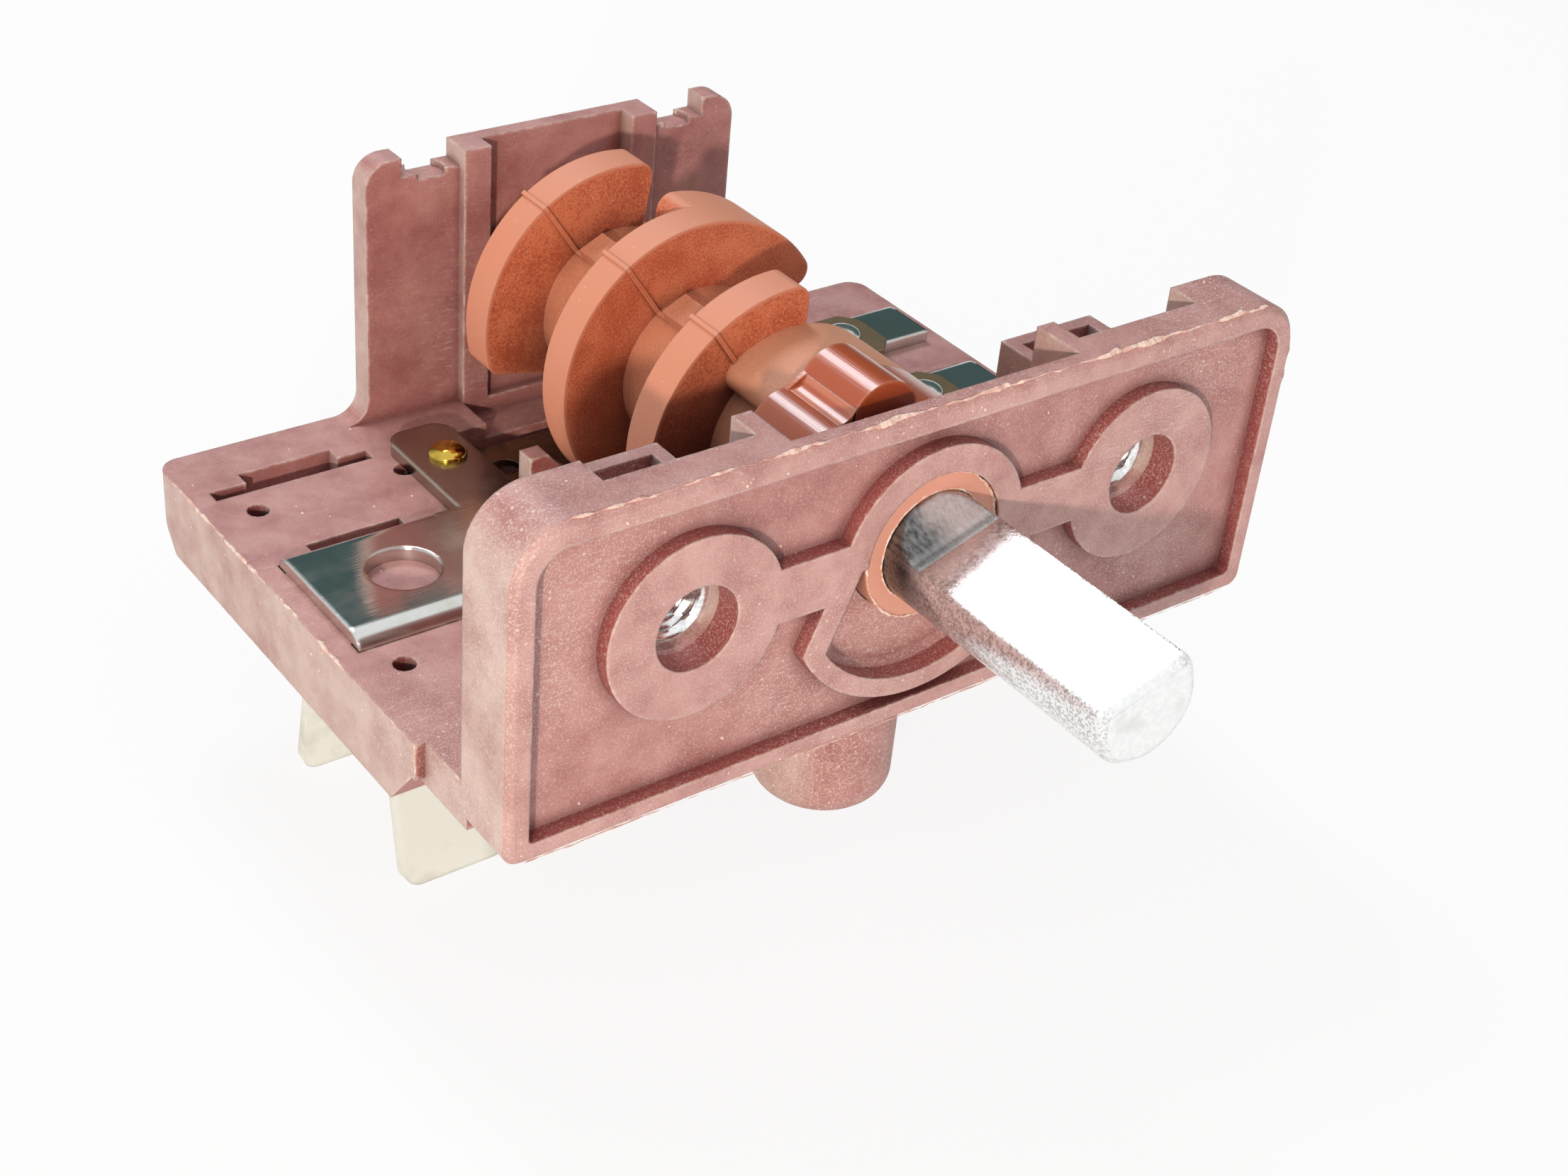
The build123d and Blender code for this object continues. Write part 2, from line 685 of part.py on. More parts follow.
def make_all():
    """Every piece by its node name."""
    pieces = {"base": make_base(), "camshaft": make_camshaft(), "shaft": make_shaft(),
              "nut_plate_left": make_nut(-1), "nut_plate_right": make_nut(1),
              "detent_plunger": make_plunger(), "detent_spring": make_spring(),
              "bridge_terminal": make_bridge_terminal()}
    names = ("front", "middle", "rear")
    for name, row, leaf_row in zip(names, slot_rows, leaf_rows):
        pieces["terminal_" + name] = make_side_terminal(row, leaf_row)
        pieces["contact_spring_" + name] = make_leaf(leaf_row)
        pieces["contact_tip_" + name] = make_contact_tip(leaf_row)
        pieces["fixed_contact_" + name] = make_fixed_rivet(leaf_row)
        seat = leaf_top + rivet_leaf_gap
        reach = seat - floor_top
        pieces["terminal_rivet_" + name] = rivet(rivet_x, leaf_row, seat, reach)
    return pieces


os.makedirs("parts", exist_ok=True)
for node, solid in make_all().items():
    export_step(solid, "parts/" + node + ".step")
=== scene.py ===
import math
from functools import partial

import bmesh
import bpy
import numpy as np
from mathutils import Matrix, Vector
from mathutils.bvhtree import BVHTree


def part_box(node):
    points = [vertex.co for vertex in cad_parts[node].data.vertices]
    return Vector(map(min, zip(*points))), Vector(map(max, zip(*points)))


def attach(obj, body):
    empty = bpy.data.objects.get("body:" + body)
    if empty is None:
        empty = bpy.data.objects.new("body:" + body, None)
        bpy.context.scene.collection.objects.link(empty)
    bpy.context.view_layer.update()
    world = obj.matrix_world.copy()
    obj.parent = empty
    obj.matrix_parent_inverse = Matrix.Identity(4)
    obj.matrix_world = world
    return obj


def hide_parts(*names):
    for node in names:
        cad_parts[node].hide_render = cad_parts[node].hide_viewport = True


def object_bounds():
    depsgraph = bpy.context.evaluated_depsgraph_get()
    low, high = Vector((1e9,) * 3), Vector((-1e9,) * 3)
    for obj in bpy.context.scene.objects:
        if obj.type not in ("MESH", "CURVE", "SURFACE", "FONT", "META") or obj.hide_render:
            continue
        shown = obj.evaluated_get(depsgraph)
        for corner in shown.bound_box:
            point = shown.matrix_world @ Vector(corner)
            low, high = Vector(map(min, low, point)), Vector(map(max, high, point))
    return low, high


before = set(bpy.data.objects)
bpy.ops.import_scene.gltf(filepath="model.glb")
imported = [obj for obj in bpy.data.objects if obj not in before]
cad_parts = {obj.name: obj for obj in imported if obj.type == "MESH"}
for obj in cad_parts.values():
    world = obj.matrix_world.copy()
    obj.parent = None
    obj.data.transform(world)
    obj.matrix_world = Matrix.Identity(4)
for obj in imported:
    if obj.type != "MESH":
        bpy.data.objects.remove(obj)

# Looks of an open rotary switch. Settings are in millimetres and degrees; mm turns them into metres.
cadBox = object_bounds()
mm = 0.001
print("frame loaded")


def linear(hexCode):  # sRGB hex to a linear colour: each part by the standard curve
    parts = [int(hexCode[i:i + 2], 16) / 255 for i in (0, 2, 4)]
    return tuple(p / 12.92 if p <= 0.04045 else ((p + 0.055) / 1.055) ** 2.4 for p in parts) + (1.0,)


# inputs: name or number of a socket to a value or to another socket
def addNode(tree, kind, inputs=None, **settings):
    node = tree.nodes.new("ShaderNode" + kind)
    for name, value in settings.items():
        setattr(node, name, value)
    for key, value in (inputs or {}).items():
        if isinstance(value, bpy.types.NodeSocket):
            tree.links.new(value, node.inputs[key])
        else:
            node.inputs[key].default_value = value
    return node.outputs


def newMaterial(name):  # an empty material, and addNode bound to its tree
    material = bpy.data.materials.new(name)
    material.use_nodes = True
    material.node_tree.nodes.clear()
    return material, partial(addNode, material.node_tree)


def dress(names, material):  # gives CAD nodes their finish
    for name in names:
        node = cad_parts[name]
        node.data.materials.clear()
        node.data.materials.append(material)


# Moulded base: hot-pressed thermoset polyester, filled with glass fibre. Matt pinkish brown with a pale
# dusting mixed with painted sheen, cloudy where the resin flowed, with pale fibre ends, and chalky where an
# edge has broken; painted shade in inner corners and on step walls.
baseLook = {
    # the two pale tints on the next line are dusting mixed with painted sheen
    "maroon": "A85C55", "deepMaroon": "944944", "sheenDust": "DFBAB4", "greySheenDust": "D3BCB2",
    # the first two colours on the next line are painted shade, for inner corners and step walls
    "corner": "5C2223", "wall": "A0524E", "fibre": "EAD6CD", "chalk": "F5E2D4",
    "cloudSize": 2.6, "patchSize": 9.0, "grainSize": 0.11, "speckSize": 0.42, "breakSize": 0.8,
    "fibreLength": 0.6, "fibreWidth": 0.1, "fibreShown": 0.38, "speckShown": 0.8, "crumbShown": 0.55,
    "fibreTurns": ((0.4, 0.2, 0.7), (1.3, 0.9, -0.5), (-0.7, 1.1, 1.9)),
    # shares of dusting and painted sheen on each kind of face
    "fieldSheenDust": 0.33, "rimSheenDust": 0.51, "rearSheenDust": 0.24, "topSheenDust": 0.38, "sideSheenDust": 0.72,
    "sheenDustDepth": 1.1, "plateBack": 5.0, "plateFront": 3.0, "rearFrom": 28.0, "rearTo": 33.0,
    "cleanFrom": 20.0, "cleanTo": 6.0, "stepFront": 0.05, "stepBack": 1.6,
    "fieldHalf": 22.8, "fieldTop": 6.85, "fieldLow": -9.15, "edgeReach": 0.28, "cornerReach": 1.3,
    "roughness": 0.5, "bumpHeight": 0.02, "cornerRound": 0.22,
}


def mouldedBase(look):
    material, add = newMaterial("polyesterMouldingMatt")
    place = add("TexCoord")["Object"]
    split = add("SeparateXYZ", {0: place})
    cloud = add("TexNoise", {"Vector": place, "Scale": 1000 / look["cloudSize"], "Detail": 5.0,
                             "Roughness": 0.65})[0]
    patch = add("TexNoise", {"Vector": place, "Scale": 1000 / look["patchSize"], "Detail": 2.0})[0]
    grain = add("TexNoise", {"Vector": place, "Scale": 1000 / look["grainSize"], "Detail": 2.0,
                             "Roughness": 0.7})[0]
    # resin clouds
    cloudy = add("MapRange", {0: cloud, 1: 0.62, 2: 0.36})[0]
    colour = add("Mix", {0: cloudy, 6: linear(look["maroon"]), 7: linear(look["deepMaroon"])},
                 data_type="RGBA")[2]
    way = add("SeparateXYZ", {0: add("NewGeometry")["True Normal"]})
    # pale dusting and painted sheen on the front, the raised rims, the rear, the tops and the left side; the
    # left side takes a greyer tint
    raised = add("MapRange", {0: split[1], 1: look["sheenDustDepth"] * mm, 2: 0.0, 3: look["fieldSheenDust"],
                              4: look["rimSheenDust"]})[0]
    forward = add("MapRange", {0: split[1], 1: look["plateBack"] * mm, 2: look["plateFront"] * mm, 3: 0.2})[0]
    rear = add("MapRange", {0: split[1], 1: look["rearFrom"] * mm, 2: look["rearTo"] * mm,
                            4: look["rearSheenDust"]})[0]
    dustAndSheen = add("Math", {0: raised, 1: forward}, operation="MULTIPLY")[0]
    onTop = add("MapRange", {0: way[2], 1: 0.4, 2: 0.9, 4: look["topSheenDust"]})[0]
    onSide = add("MapRange", {0: way[0], 1: -0.4, 2: -0.9, 4: look["sideSheenDust"]})[0]
    for other in (rear, onTop, onSide):
        dustAndSheen = add("Math", {0: dustAndSheen, 1: other}, operation="MAXIMUM")[0]
    settled = add("MapRange", {0: cloud, 1: 0.3, 2: 0.65, 3: 0.6, 4: 1.3})[0]
    dustAndSheen = add("Math", {0: dustAndSheen, 1: settled}, operation="MULTIPLY", use_clamp=True)[0]
    leftward = add("MapRange", {0: way[0], 1: -0.4, 2: -0.9})[0]
    dustAndSheenColour = add("Mix", {0: leftward, 6: linear(look["sheenDust"]), 7: linear(look["greySheenDust"])},
                     data_type="RGBA")[2]
    colour = add("Mix", {0: dustAndSheen, 6: colour, 7: dustAndSheenColour}, data_type="RGBA")[2]
    # painted shade: the low step walls of the front face take a darker red and no dusting
    upright = add("Math", {0: way[1]}, operation="ABSOLUTE")[0]
    wall = add("MapRange", {0: upright, 1: 0.6, 2: 0.3})[0]
    for axis, low, high in ((0, -look["fieldHalf"], look["fieldHalf"]),
                            (1, look["stepFront"], look["stepBack"]),
                            (2, look["fieldLow"], look["fieldTop"])):
        above = add("Math", {0: split[axis], 1: low * mm}, operation="GREATER_THAN")[0]
        below = add("Math", {0: split[axis], 1: high * mm}, operation="LESS_THAN")[0]
        for bound in (above, below):
            wall = add("Math", {0: wall, 1: bound}, operation="MULTIPLY")[0]
    colour = add("Mix", {0: wall, 6: colour, 7: linear(look["wall"])}, data_type="RGBA")[2]
    # the rear is cleaner
    near = add("MapRange", {0: split[1], 1: look["cleanFrom"] * mm, 2: look["cleanTo"] * mm, 3: 0.3})[0]
    # pale grains of filler
    crumbs = add("MapRange", {0: grain, 1: 0.5, 2: 0.68, 4: look["crumbShown"]})[0]
    drift = add("MapRange", {0: patch, 1: 0.4, 2: 0.62, 3: 0.55, 4: 1.15})[0]
    for share in (near, drift):
        crumbs = add("Math", {0: crumbs, 1: share}, operation="MULTIPLY")[0]
    colour = add("Mix", {0: crumbs, 6: colour, 7: linear(look["fibre"])}, data_type="RGBA")[2]
    # glass fibres, lying three ways
    fibres = None
    for turn in look["fibreTurns"]:
        turned = add("Mapping", {"Vector": place, "Rotation": turn,
                                           "Scale": (1000 / look["fibreLength"], 1000 / look["fibreWidth"],
                                                     1000 / look["fibreWidth"])})[0]
        streak = add("TexNoise", {"Vector": turned, "Scale": 0.6, "Detail": 1.0})[0]
        streak = add("MapRange", {0: streak, 1: 0.64, 2: 0.78})[0]
        fibres = streak if fibres is None else add("Math", {0: fibres, 1: streak}, operation="MAXIMUM")[0]
    shown = add("MapRange", {0: patch, 1: 0.46, 2: 0.7, 4: look["fibreShown"]})[0]  # fibres lie in drifts
    fibres = add("Math", {0: fibres, 1: shown}, operation="MULTIPLY")[0]
    # cut ends of fibres
    cells = add("TexVoronoi", {"Vector": place, "Scale": 1000 / look["speckSize"]})
    speck = add("MapRange", {0: cells["Distance"], 1: 0.24, 2: 0.12})[0]
    lot = add("SeparateColor", {0: cells["Color"]})[0]
    chosen = add("MapRange", {0: lot, 1: 0.8, 2: 0.86, 4: look["speckShown"]})[0]
    gathered = add("MapRange", {0: patch, 1: 0.44, 2: 0.6, 3: 0.3})[0]
    for share in (chosen, gathered, near):
        speck = add("Math", {0: speck, 1: share}, operation="MULTIPLY")[0]
    fleck = add("Math", {0: speck, 1: fibres}, operation="MAXIMUM")[0]
    colour = add("Mix", {0: fleck, 6: colour, 7: linear(look["fibre"])}, data_type="RGBA")[2]
    # painted shade: inner corners darken towards a deep red
    outer = add("AmbientOcclusion", {"Distance": look["cornerReach"] * mm}, only_local=True, samples=6)["AO"]
    paintedShade = add("MapRange", {0: outer, 1: 0.85, 2: 0.3, 4: 0.85})[0]
    colour = add("Mix", {0: paintedShade, 6: colour, 7: linear(look["corner"])}, data_type="RGBA")[2]
    # chalky broken edges
    inner = add("AmbientOcclusion", {"Distance": look["edgeReach"] * mm}, inside=True, only_local=True,
                samples=6)["AO"]
    edge = add("MapRange", {0: inner, 1: 0.7, 2: 0.5})[0]
    broken = add("TexNoise", {"Vector": place, "Scale": 1000 / look["breakSize"], "Detail": 5.0,
                              "Roughness": 0.75})[0]
    broken = add("MapRange", {0: broken, 1: 0.45, 2: 0.62, 3: 0.12, 4: 0.9})[0]
    worn = add("Math", {0: edge, 1: broken}, operation="MULTIPLY")[0]
    colour = add("Mix", {0: worn, 6: colour, 7: linear(look["chalk"])}, data_type="RGBA")[2]
    roundEdge = add("Bevel", {"Radius": look["cornerRound"] * mm}, samples=6)[0]
    height = add("Math", {0: grain, 1: cloud}, operation="ADD")[0]
    normal = add("Bump", {"Height": height, "Distance": look["bumpHeight"] * mm, "Strength": 0.8,
                          "Normal": roundEdge})[0]
    shader = add("BsdfPrincipled", {"Base Color": colour, "Roughness": look["roughness"], "Normal": normal,
                                    "IOR": 1.5})[0]
    add("OutputMaterial", {"Surface": shader})
    return material


baseFinish = mouldedBase(baseLook)
dress(["base"], baseFinish)
print("base done")


# Camshaft: pressed melamine-phenolic. Matt terracotta with fine dark and pale grains, paler on the cam
# rims, and smooth and glossy on the detent wheel, where the plunger has rubbed it.
camLook = {
    "terracotta": "DA805A", "deep": "B65735", "rim": "DA8F70", "core": "CF9878", "journal": "E3A089",
    "wheel": "AC4A1C", "chalk": "F0D2C0", "shade": "330A0B",
    "grainSize": 0.12, "cloudSize": 2.4, "cloudShare": 0.4, "speckSize": 0.42,
    "markWidth": 0.12, "markLength": 5.0, "shadeReach": 14.0, "edgeReach": 0.3,
    "rimFrom": 8.15, "rimTo": 8.38, "coreFrom": 12.0, "coreTo": 13.5, "hubRadius": 6.5, "hubFade": 0.2,
    "wheelFront": 2.6, "wheelBack": 7.6, "wheelFade": 0.3, "journalBack": 1.6, "journalFade": 0.4,
    "roughness": 0.6, "wheelRoughness": 0.3, "wheelCoat": 0.4, "coatRoughness": 0.17,
    "bumpHeight": 0.018, "cornerRound": 0.08,
}


def mouldedCam(look):
    material, add = newMaterial("melaminePhenolicMatt")
    place = add("TexCoord")["Object"]
    split = add("SeparateXYZ", {0: place})
    cloud = add("TexNoise", {"Vector": place, "Scale": 1000 / look["cloudSize"], "Detail": 3.0})[0]
    grain = add("TexNoise", {"Vector": place, "Scale": 1000 / look["grainSize"], "Detail": 2.0,
                             "Roughness": 0.7})[0]
    cells = add("TexVoronoi", {"Vector": place, "Scale": 1000 / look["speckSize"]})
    mottle = add("Mix", {0: look["cloudShare"], 2: grain, 3: cloud})[0]
    amount = add("MapRange", {0: mottle, 1: 0.42, 2: 0.57})[0]
    colour = add("Mix", {0: amount, 6: linear(look["deep"]), 7: linear(look["terracotta"])},
                 data_type="RGBA")[2]
    across = add("CombineXYZ", {0: split[0], 1: split[2]})[0]
    radius = add("VectorMath", {0: across}, operation="LENGTH")["Value"]  # distance from the shaft axis
    rim = add("MapRange", {0: radius, 1: look["rimFrom"] * mm, 2: look["rimTo"] * mm})[0]
    colour = add("Mix", {0: rim, 6: colour, 7: linear(look["rim"])}, data_type="RGBA")[2]
    # the paler round side of the core between the cams: partly its own tan, partly painted sheen
    way = add("SeparateXYZ", {0: add("TexCoord")["Normal"]})
    level = add("Math", {0: way[1]}, operation="ABSOLUTE")[0]
    roundSide = add("MapRange", {0: level, 1: 0.6, 2: 0.4})[0]
    paleCoreSheen = add("MapRange", {0: radius, 1: look["hubRadius"] * mm,
                           2: (look["hubRadius"] - look["hubFade"]) * mm, 4: 0.75})[0]
    forward = add("MapRange", {0: split[1], 1: look["coreTo"] * mm, 2: look["coreFrom"] * mm, 3: 0.65})[0]
    for part in (roundSide, forward):
        paleCoreSheen = add("Math", {0: paleCoreSheen, 1: part}, operation="MULTIPLY")[0]
    colour = add("Mix", {0: paleCoreSheen, 6: colour, 7: linear(look["core"])}, data_type="RGBA")[2]
    # the glossy detent wheel
    wheel = add("MapRange", {0: split[1], 1: look["wheelBack"] * mm,
                             2: (look["wheelBack"] - look["wheelFade"]) * mm})[0]
    behindFront = add("MapRange", {0: split[1], 1: look["wheelFront"] * mm,
                                   2: (look["wheelFront"] + look["wheelFade"]) * mm})[0]
    wheel = add("Math", {0: wheel, 1: behindFront}, operation="MULTIPLY")[0]
    colour = add("Mix", {0: wheel, 6: colour, 7: linear(look["wheel"])}, data_type="RGBA")[2]
    # pale grains beside the wheel
    speck = add("MapRange", {0: cells["Distance"], 1: 0.2, 2: 0.08, 4: 0.25})[0]
    lot = add("SeparateColor", {0: cells["Color"]})[0]
    pale = add("MapRange", {0: lot, 1: 0.7, 2: 0.8})[0]
    offWheel = add("MapRange", {0: wheel, 3: 1.0, 4: 0.0})[0]
    for part in (pale, offWheel):
        speck = add("Math", {0: speck, 1: part}, operation="MULTIPLY")[0]
    colour = add("Mix", {0: speck, 6: colour, 7: linear(look["chalk"])}, data_type="RGBA")[2]
    # the pale front journal
    journal = add("MapRange", {0: split[1], 1: look["journalBack"] * mm,
                               2: (look["journalBack"] - look["journalFade"]) * mm})[0]
    colour = add("Mix", {0: journal, 6: colour, 7: linear(look["journal"])}, data_type="RGBA")[2]
    # deep shade between the cams
    outer = add("AmbientOcclusion", {"Distance": look["shadeReach"] * mm}, samples=8)["AO"]
    paintedShade = add("MapRange", {0: outer, 1: 0.42, 2: 0.16, 4: 0.9})[0]
    colour = add("Mix", {0: paintedShade, 6: colour, 7: linear(look["shade"])}, data_type="RGBA")[2]
    # paler edges
    inner = add("AmbientOcclusion", {"Distance": look["edgeReach"] * mm}, inside=True, only_local=True,
                samples=6)["AO"]
    edge = add("MapRange", {0: inner, 1: 0.75, 2: 0.45, 4: 0.55})[0]
    colour = add("Mix", {0: edge, 6: colour, 7: linear(look["rim"])}, data_type="RGBA")[2]
    rough = add("MapRange", {0: wheel, 3: look["roughness"], 4: look["wheelRoughness"]})[0]
    roundEdge = add("Bevel", {"Radius": look["cornerRound"] * mm}, samples=4)[0]
    strength = add("MapRange", {0: wheel, 3: 0.8, 4: 0.9})[0]
    coat = add("MapRange", {0: wheel, 4: look["wheelCoat"]})[0]
    drawn = add("Mapping", {"Vector": place,
                            "Scale": (1000 / look["markWidth"], 1000 / look["markLength"],
                                      1000 / look["markWidth"])})[0]
    marks = add("TexNoise", {"Vector": drawn, "Scale": 0.7, "Detail": 2.0})[0]
    relief = add("Mix", {0: wheel, 2: grain, 3: marks})[0]  # grain on the cams, drawing marks on the wheel
    normal = add("Bump", {"Height": relief, "Distance": look["bumpHeight"] * mm, "Strength": strength,
                          "Normal": roundEdge})[0]
    shader = add("BsdfPrincipled", {"Base Color": colour, "Roughness": rough, "Normal": normal, "IOR": 1.55,
                                    "Coat Weight": coat, "Coat Roughness": look["coatRoughness"]})[0]
    add("OutputMaterial", {"Surface": shader})
    return material


camFinish = mouldedCam(camLook)
dress(["camshaft"], camFinish)
print("camshaft done")


# Shaft and nut plates: zinc-plated steel. Bright and mottled, with a frosted skin that has dull grey
# and shiny spots, and long drawing marks on the flat.
zincLook = {
    "bright": "FEFEFE", "grey": "F4F5F5", "dark": "DCDCDA", "flake": "8E8D88",
    # the next two colours are a painted reflection and shade at the root of the shaft
    "shade": "2B2726", "glow": "AE958F",
    "spotSize": 0.34, "patchSize": 2.6, "markSize": 0.12, "markLength": 6.0, "flakeSize": 0.12,
    "flatWay": (-0.309, 0.0, 0.951), "widthWay": (0.951, 0.0, 0.309),
    "shadeFrom": -3.2, "shadeTo": -1.3, "shadeDepth": 0.95, "glowFrom": -1.2, "glowTo": 0.3,
    "frostFrom": 1.3, "frostTo": 2.4, "flakeDepth": 0.5, "facetHeight": 1.6,
    "metallic": 0.94, "smooth": 0.2, "rough": 0.36, "bumpHeight": 0.005, "cornerRound": 0.4,
}
nutPlateLook = dict(zincLook, grey="E2E3E1", dark="C9C8C4", metallic=1.0, flakeDepth=0.0, shadeDepth=0.0,
                    facetHeight=0.0, smooth=0.12, rough=0.26, bumpHeight=0.002, cornerRound=0.03)


def zincPlate(name, look):
    material, add = newMaterial(name)
    place = add("TexCoord")["Object"]
    spots = add("TexNoise", {"Vector": place, "Scale": 1000 / look["spotSize"], "Detail": 5.0,
                             "Roughness": 0.72})[0]
    patches = add("TexNoise", {"Vector": place, "Scale": 1000 / look["patchSize"], "Detail": 2.0})[0]
    drawn = add("Mapping", {"Vector": place,
                            "Scale": (1000 / look["markSize"], 1000 / look["markLength"],
                                      1000 / look["markSize"])})[0]
    marks = add("TexNoise", {"Vector": drawn, "Scale": 0.6, "Detail": 2.0})[0]
    amount = add("MapRange", {0: spots, 1: 0.42, 2: 0.58})[0]
    colour = add("Mix", {0: amount, 6: linear(look["grey"]), 7: linear(look["bright"])}, data_type="RGBA")[2]
    dull = add("MapRange", {0: patches, 1: 0.6, 2: 0.72, 4: 0.5})[0]
    colour = add("Mix", {0: dull, 6: colour, 7: linear(look["dark"])}, data_type="RGBA")[2]
    # painted reflection and shade: the root of the shaft darkens in streaks towards the journal, dark on the
    # left and pinkish on the right, standing in for the base mirrored in it
    along = add("SeparateXYZ", {0: place})[1]
    shaded = add("MapRange", {0: along, 1: look["shadeFrom"] * mm, 2: look["shadeTo"] * mm,
                              4: look["shadeDepth"]})[0]
    streaky = add("MapRange", {0: marks, 1: 0.3, 2: 0.7, 3: 1.0, 4: 0.8})[0]
    shaded = add("Math", {0: shaded, 1: streaky}, operation="MULTIPLY")[0]
    sideways = add("VectorMath", {0: place, 1: look["widthWay"]}, operation="DOT_PRODUCT")["Value"]
    warm = add("MapRange", {0: sideways, 1: look["glowFrom"] * mm, 2: look["glowTo"] * mm, 3: -0.25, 4: 0.75},
               clamp=False)[0]
    patchy = add("MapRange", {0: patches, 1: 0.4, 2: 0.6, 4: 0.5})[0]
    warm = add("Math", {0: warm, 1: patchy}, operation="ADD", use_clamp=True)[0]
    paintedReflection = add("Mix", {0: warm, 6: linear(look["shade"]), 7: linear(look["glow"])}, data_type="RGBA")[2]
    colour = add("Mix", {0: shaded, 6: colour, 7: paintedReflection}, data_type="RGBA")[2]
    # frost on the round side, none on the end face
    flat = add("VectorMath", {0: add("TexCoord")["Normal"], 1: look["flatWay"]},
               operation="DOT_PRODUCT")["Value"]
    side = add("MapRange", {0: flat, 1: 0.55, 2: 0.35})[0]
    width = add("Math", {0: sideways}, operation="ABSOLUTE")[0]
    # the flat's long edges are frosted too
    margin = add("MapRange", {0: width, 1: look["frostFrom"] * mm, 2: look["frostTo"] * mm})[0]
    side = add("Math", {0: side, 1: margin}, operation="MAXIMUM")[0]
    faceWay = add("SeparateXYZ", {0: add("TexCoord")["Normal"]})[1]
    tip = add("MapRange", {0: faceWay, 1: -0.9, 2: -0.6})[0]
    side = add("Math", {0: side, 1: tip}, operation="MULTIPLY")[0]
    crystals = add("TexVoronoi", {"Vector": place, "Scale": 1000 / look["flakeSize"]})
    lot = add("SeparateColor", {0: crystals["Color"]})[0]
    flakes = add("MapRange", {0: lot, 1: 0.6, 2: 0.66, 4: look["flakeDepth"]})[0]
    facets = add("Math", {0: crystals["Distance"], 1: look["facetHeight"]}, operation="MULTIPLY")[0]
    facets = add("Math", {0: facets, 1: side}, operation="MULTIPLY")[0]
    flakes = add("Math", {0: flakes, 1: side}, operation="MULTIPLY")[0]  # crystals of zinc on the round side
    colour = add("Mix", {0: flakes, 6: colour, 7: linear(look["flake"])}, data_type="RGBA")[2]
    rough = add("MapRange", {0: spots, 1: 0.4, 2: 0.62, 3: look["smooth"], 4: look["rough"]})[0]
    height = add("Math", {0: spots, 1: marks}, operation="ADD")[0]
    height = add("Math", {0: height, 1: facets}, operation="ADD")[0]
    roundEdge = add("Bevel", {"Radius": look["cornerRound"] * mm}, samples=4)[0]
    normal = add("Bump", {"Height": height, "Distance": look["bumpHeight"] * mm, "Strength": 0.7,
                          "Normal": roundEdge})[0]
    shader = add("BsdfPrincipled", {"Base Color": colour, "Metallic": look["metallic"], "Roughness": rough,
                                    "Normal": normal})[0]
    add("OutputMaterial", {"Surface": shader})
    return material


shaftFinish = zincPlate("frostedZincSteel", zincLook)
dress(["shaft"], shaftFinish)
nutFinish = zincPlate("brightZincSteel", nutPlateLook)
print("steel done")


# Strip metal of the terminals: tinned brass, rolled and stamped. Bright and nearly mirror-like on top,
# with fine rolling lines and faint stains, greyer on the contact arm, duller and creamier on the legs.
tinLook = {
    "bright": "DADBD8", "cream": "F4EEDF", "stain": "C2BDAD", "armColour": "A9A296",
    "topRoughness": 0.07, "legRoughness": 0.4, "armDull": 0.13, "stainDull": 0.12,
    "armFrom": -17.0, "legTop": -10.5, "fade": 2.5, "stainSize": 3.0,
    "lineSize": 0.06, "lineLength": 5.0, "bumpHeight": 0.008, "cornerRound": 0.3,
}


def tinnedStrip(look):
    material, add = newMaterial("tinnedBrassStrip")
    place = add("TexCoord")["Object"]
    split = add("SeparateXYZ", {0: place})
    arm = add("MapRange", {0: split[0], 1: look["armFrom"] * mm, 2: (look["armFrom"] + look["fade"]) * mm})[0]
    leg = add("MapRange", {0: split[2], 1: look["legTop"] * mm, 2: (look["legTop"] - look["fade"]) * mm})[0]
    stains = add("TexNoise", {"Vector": place, "Scale": 1000 / look["stainSize"], "Detail": 4.0,
                              "Roughness": 0.6})[0]
    rolled = add("Mapping", {"Vector": place,
                             "Scale": (1000 / look["lineLength"], 1000 / look["lineSize"],
                                       1000 / look["lineSize"])})[0]
    lines = add("TexNoise", {"Vector": rolled, "Scale": 0.6, "Detail": 2.0})[0]
    colour = add("Mix", {0: leg, 6: linear(look["bright"]), 7: linear(look["cream"])}, data_type="RGBA")[2]
    # stains, and the greyer contact arm
    stained = add("MapRange", {0: stains, 1: 0.5, 2: 0.75, 4: 0.6})[0]
    colour = add("Mix", {0: stained, 6: colour, 7: linear(look["stain"])}, data_type="RGBA")[2]
    leftSide = add("MapRange", {0: split[0], 1: 0.0, 2: 1.0 * mm, 3: 1.0, 4: 0.0})[0]
    arm = add("Math", {0: arm, 1: leftSide}, operation="MULTIPLY")[0]
    colour = add("Mix", {0: arm, 6: colour, 7: linear(look["armColour"])}, data_type="RGBA")[2]
    rough = add("MapRange", {0: leg, 3: look["topRoughness"], 4: look["legRoughness"]})[0]
    smeared = add("MapRange", {0: stains, 1: 0.4, 2: 0.8, 4: look["stainDull"]})[0]
    dull = add("Math", {0: arm, 1: look["armDull"]}, operation="MULTIPLY")[0]
    for more in (smeared, dull):
        rough = add("Math", {0: rough, 1: more}, operation="ADD")[0]
    roundEdge = add("Bevel", {"Radius": look["cornerRound"] * mm}, samples=4)[0]
    normal = add("Bump", {"Height": lines, "Distance": look["bumpHeight"] * mm, "Strength": 0.6,
                          "Normal": roundEdge})[0]
    shader = add("BsdfPrincipled", {"Base Color": colour, "Metallic": 1.0, "Roughness": rough,
                                    "Normal": normal})[0]
    add("OutputMaterial", {"Surface": shader})
    return material


dress(["bridge_terminal", "terminal_front", "terminal_middle", "terminal_rear"], tinnedStrip(tinLook))
print("terminals done")


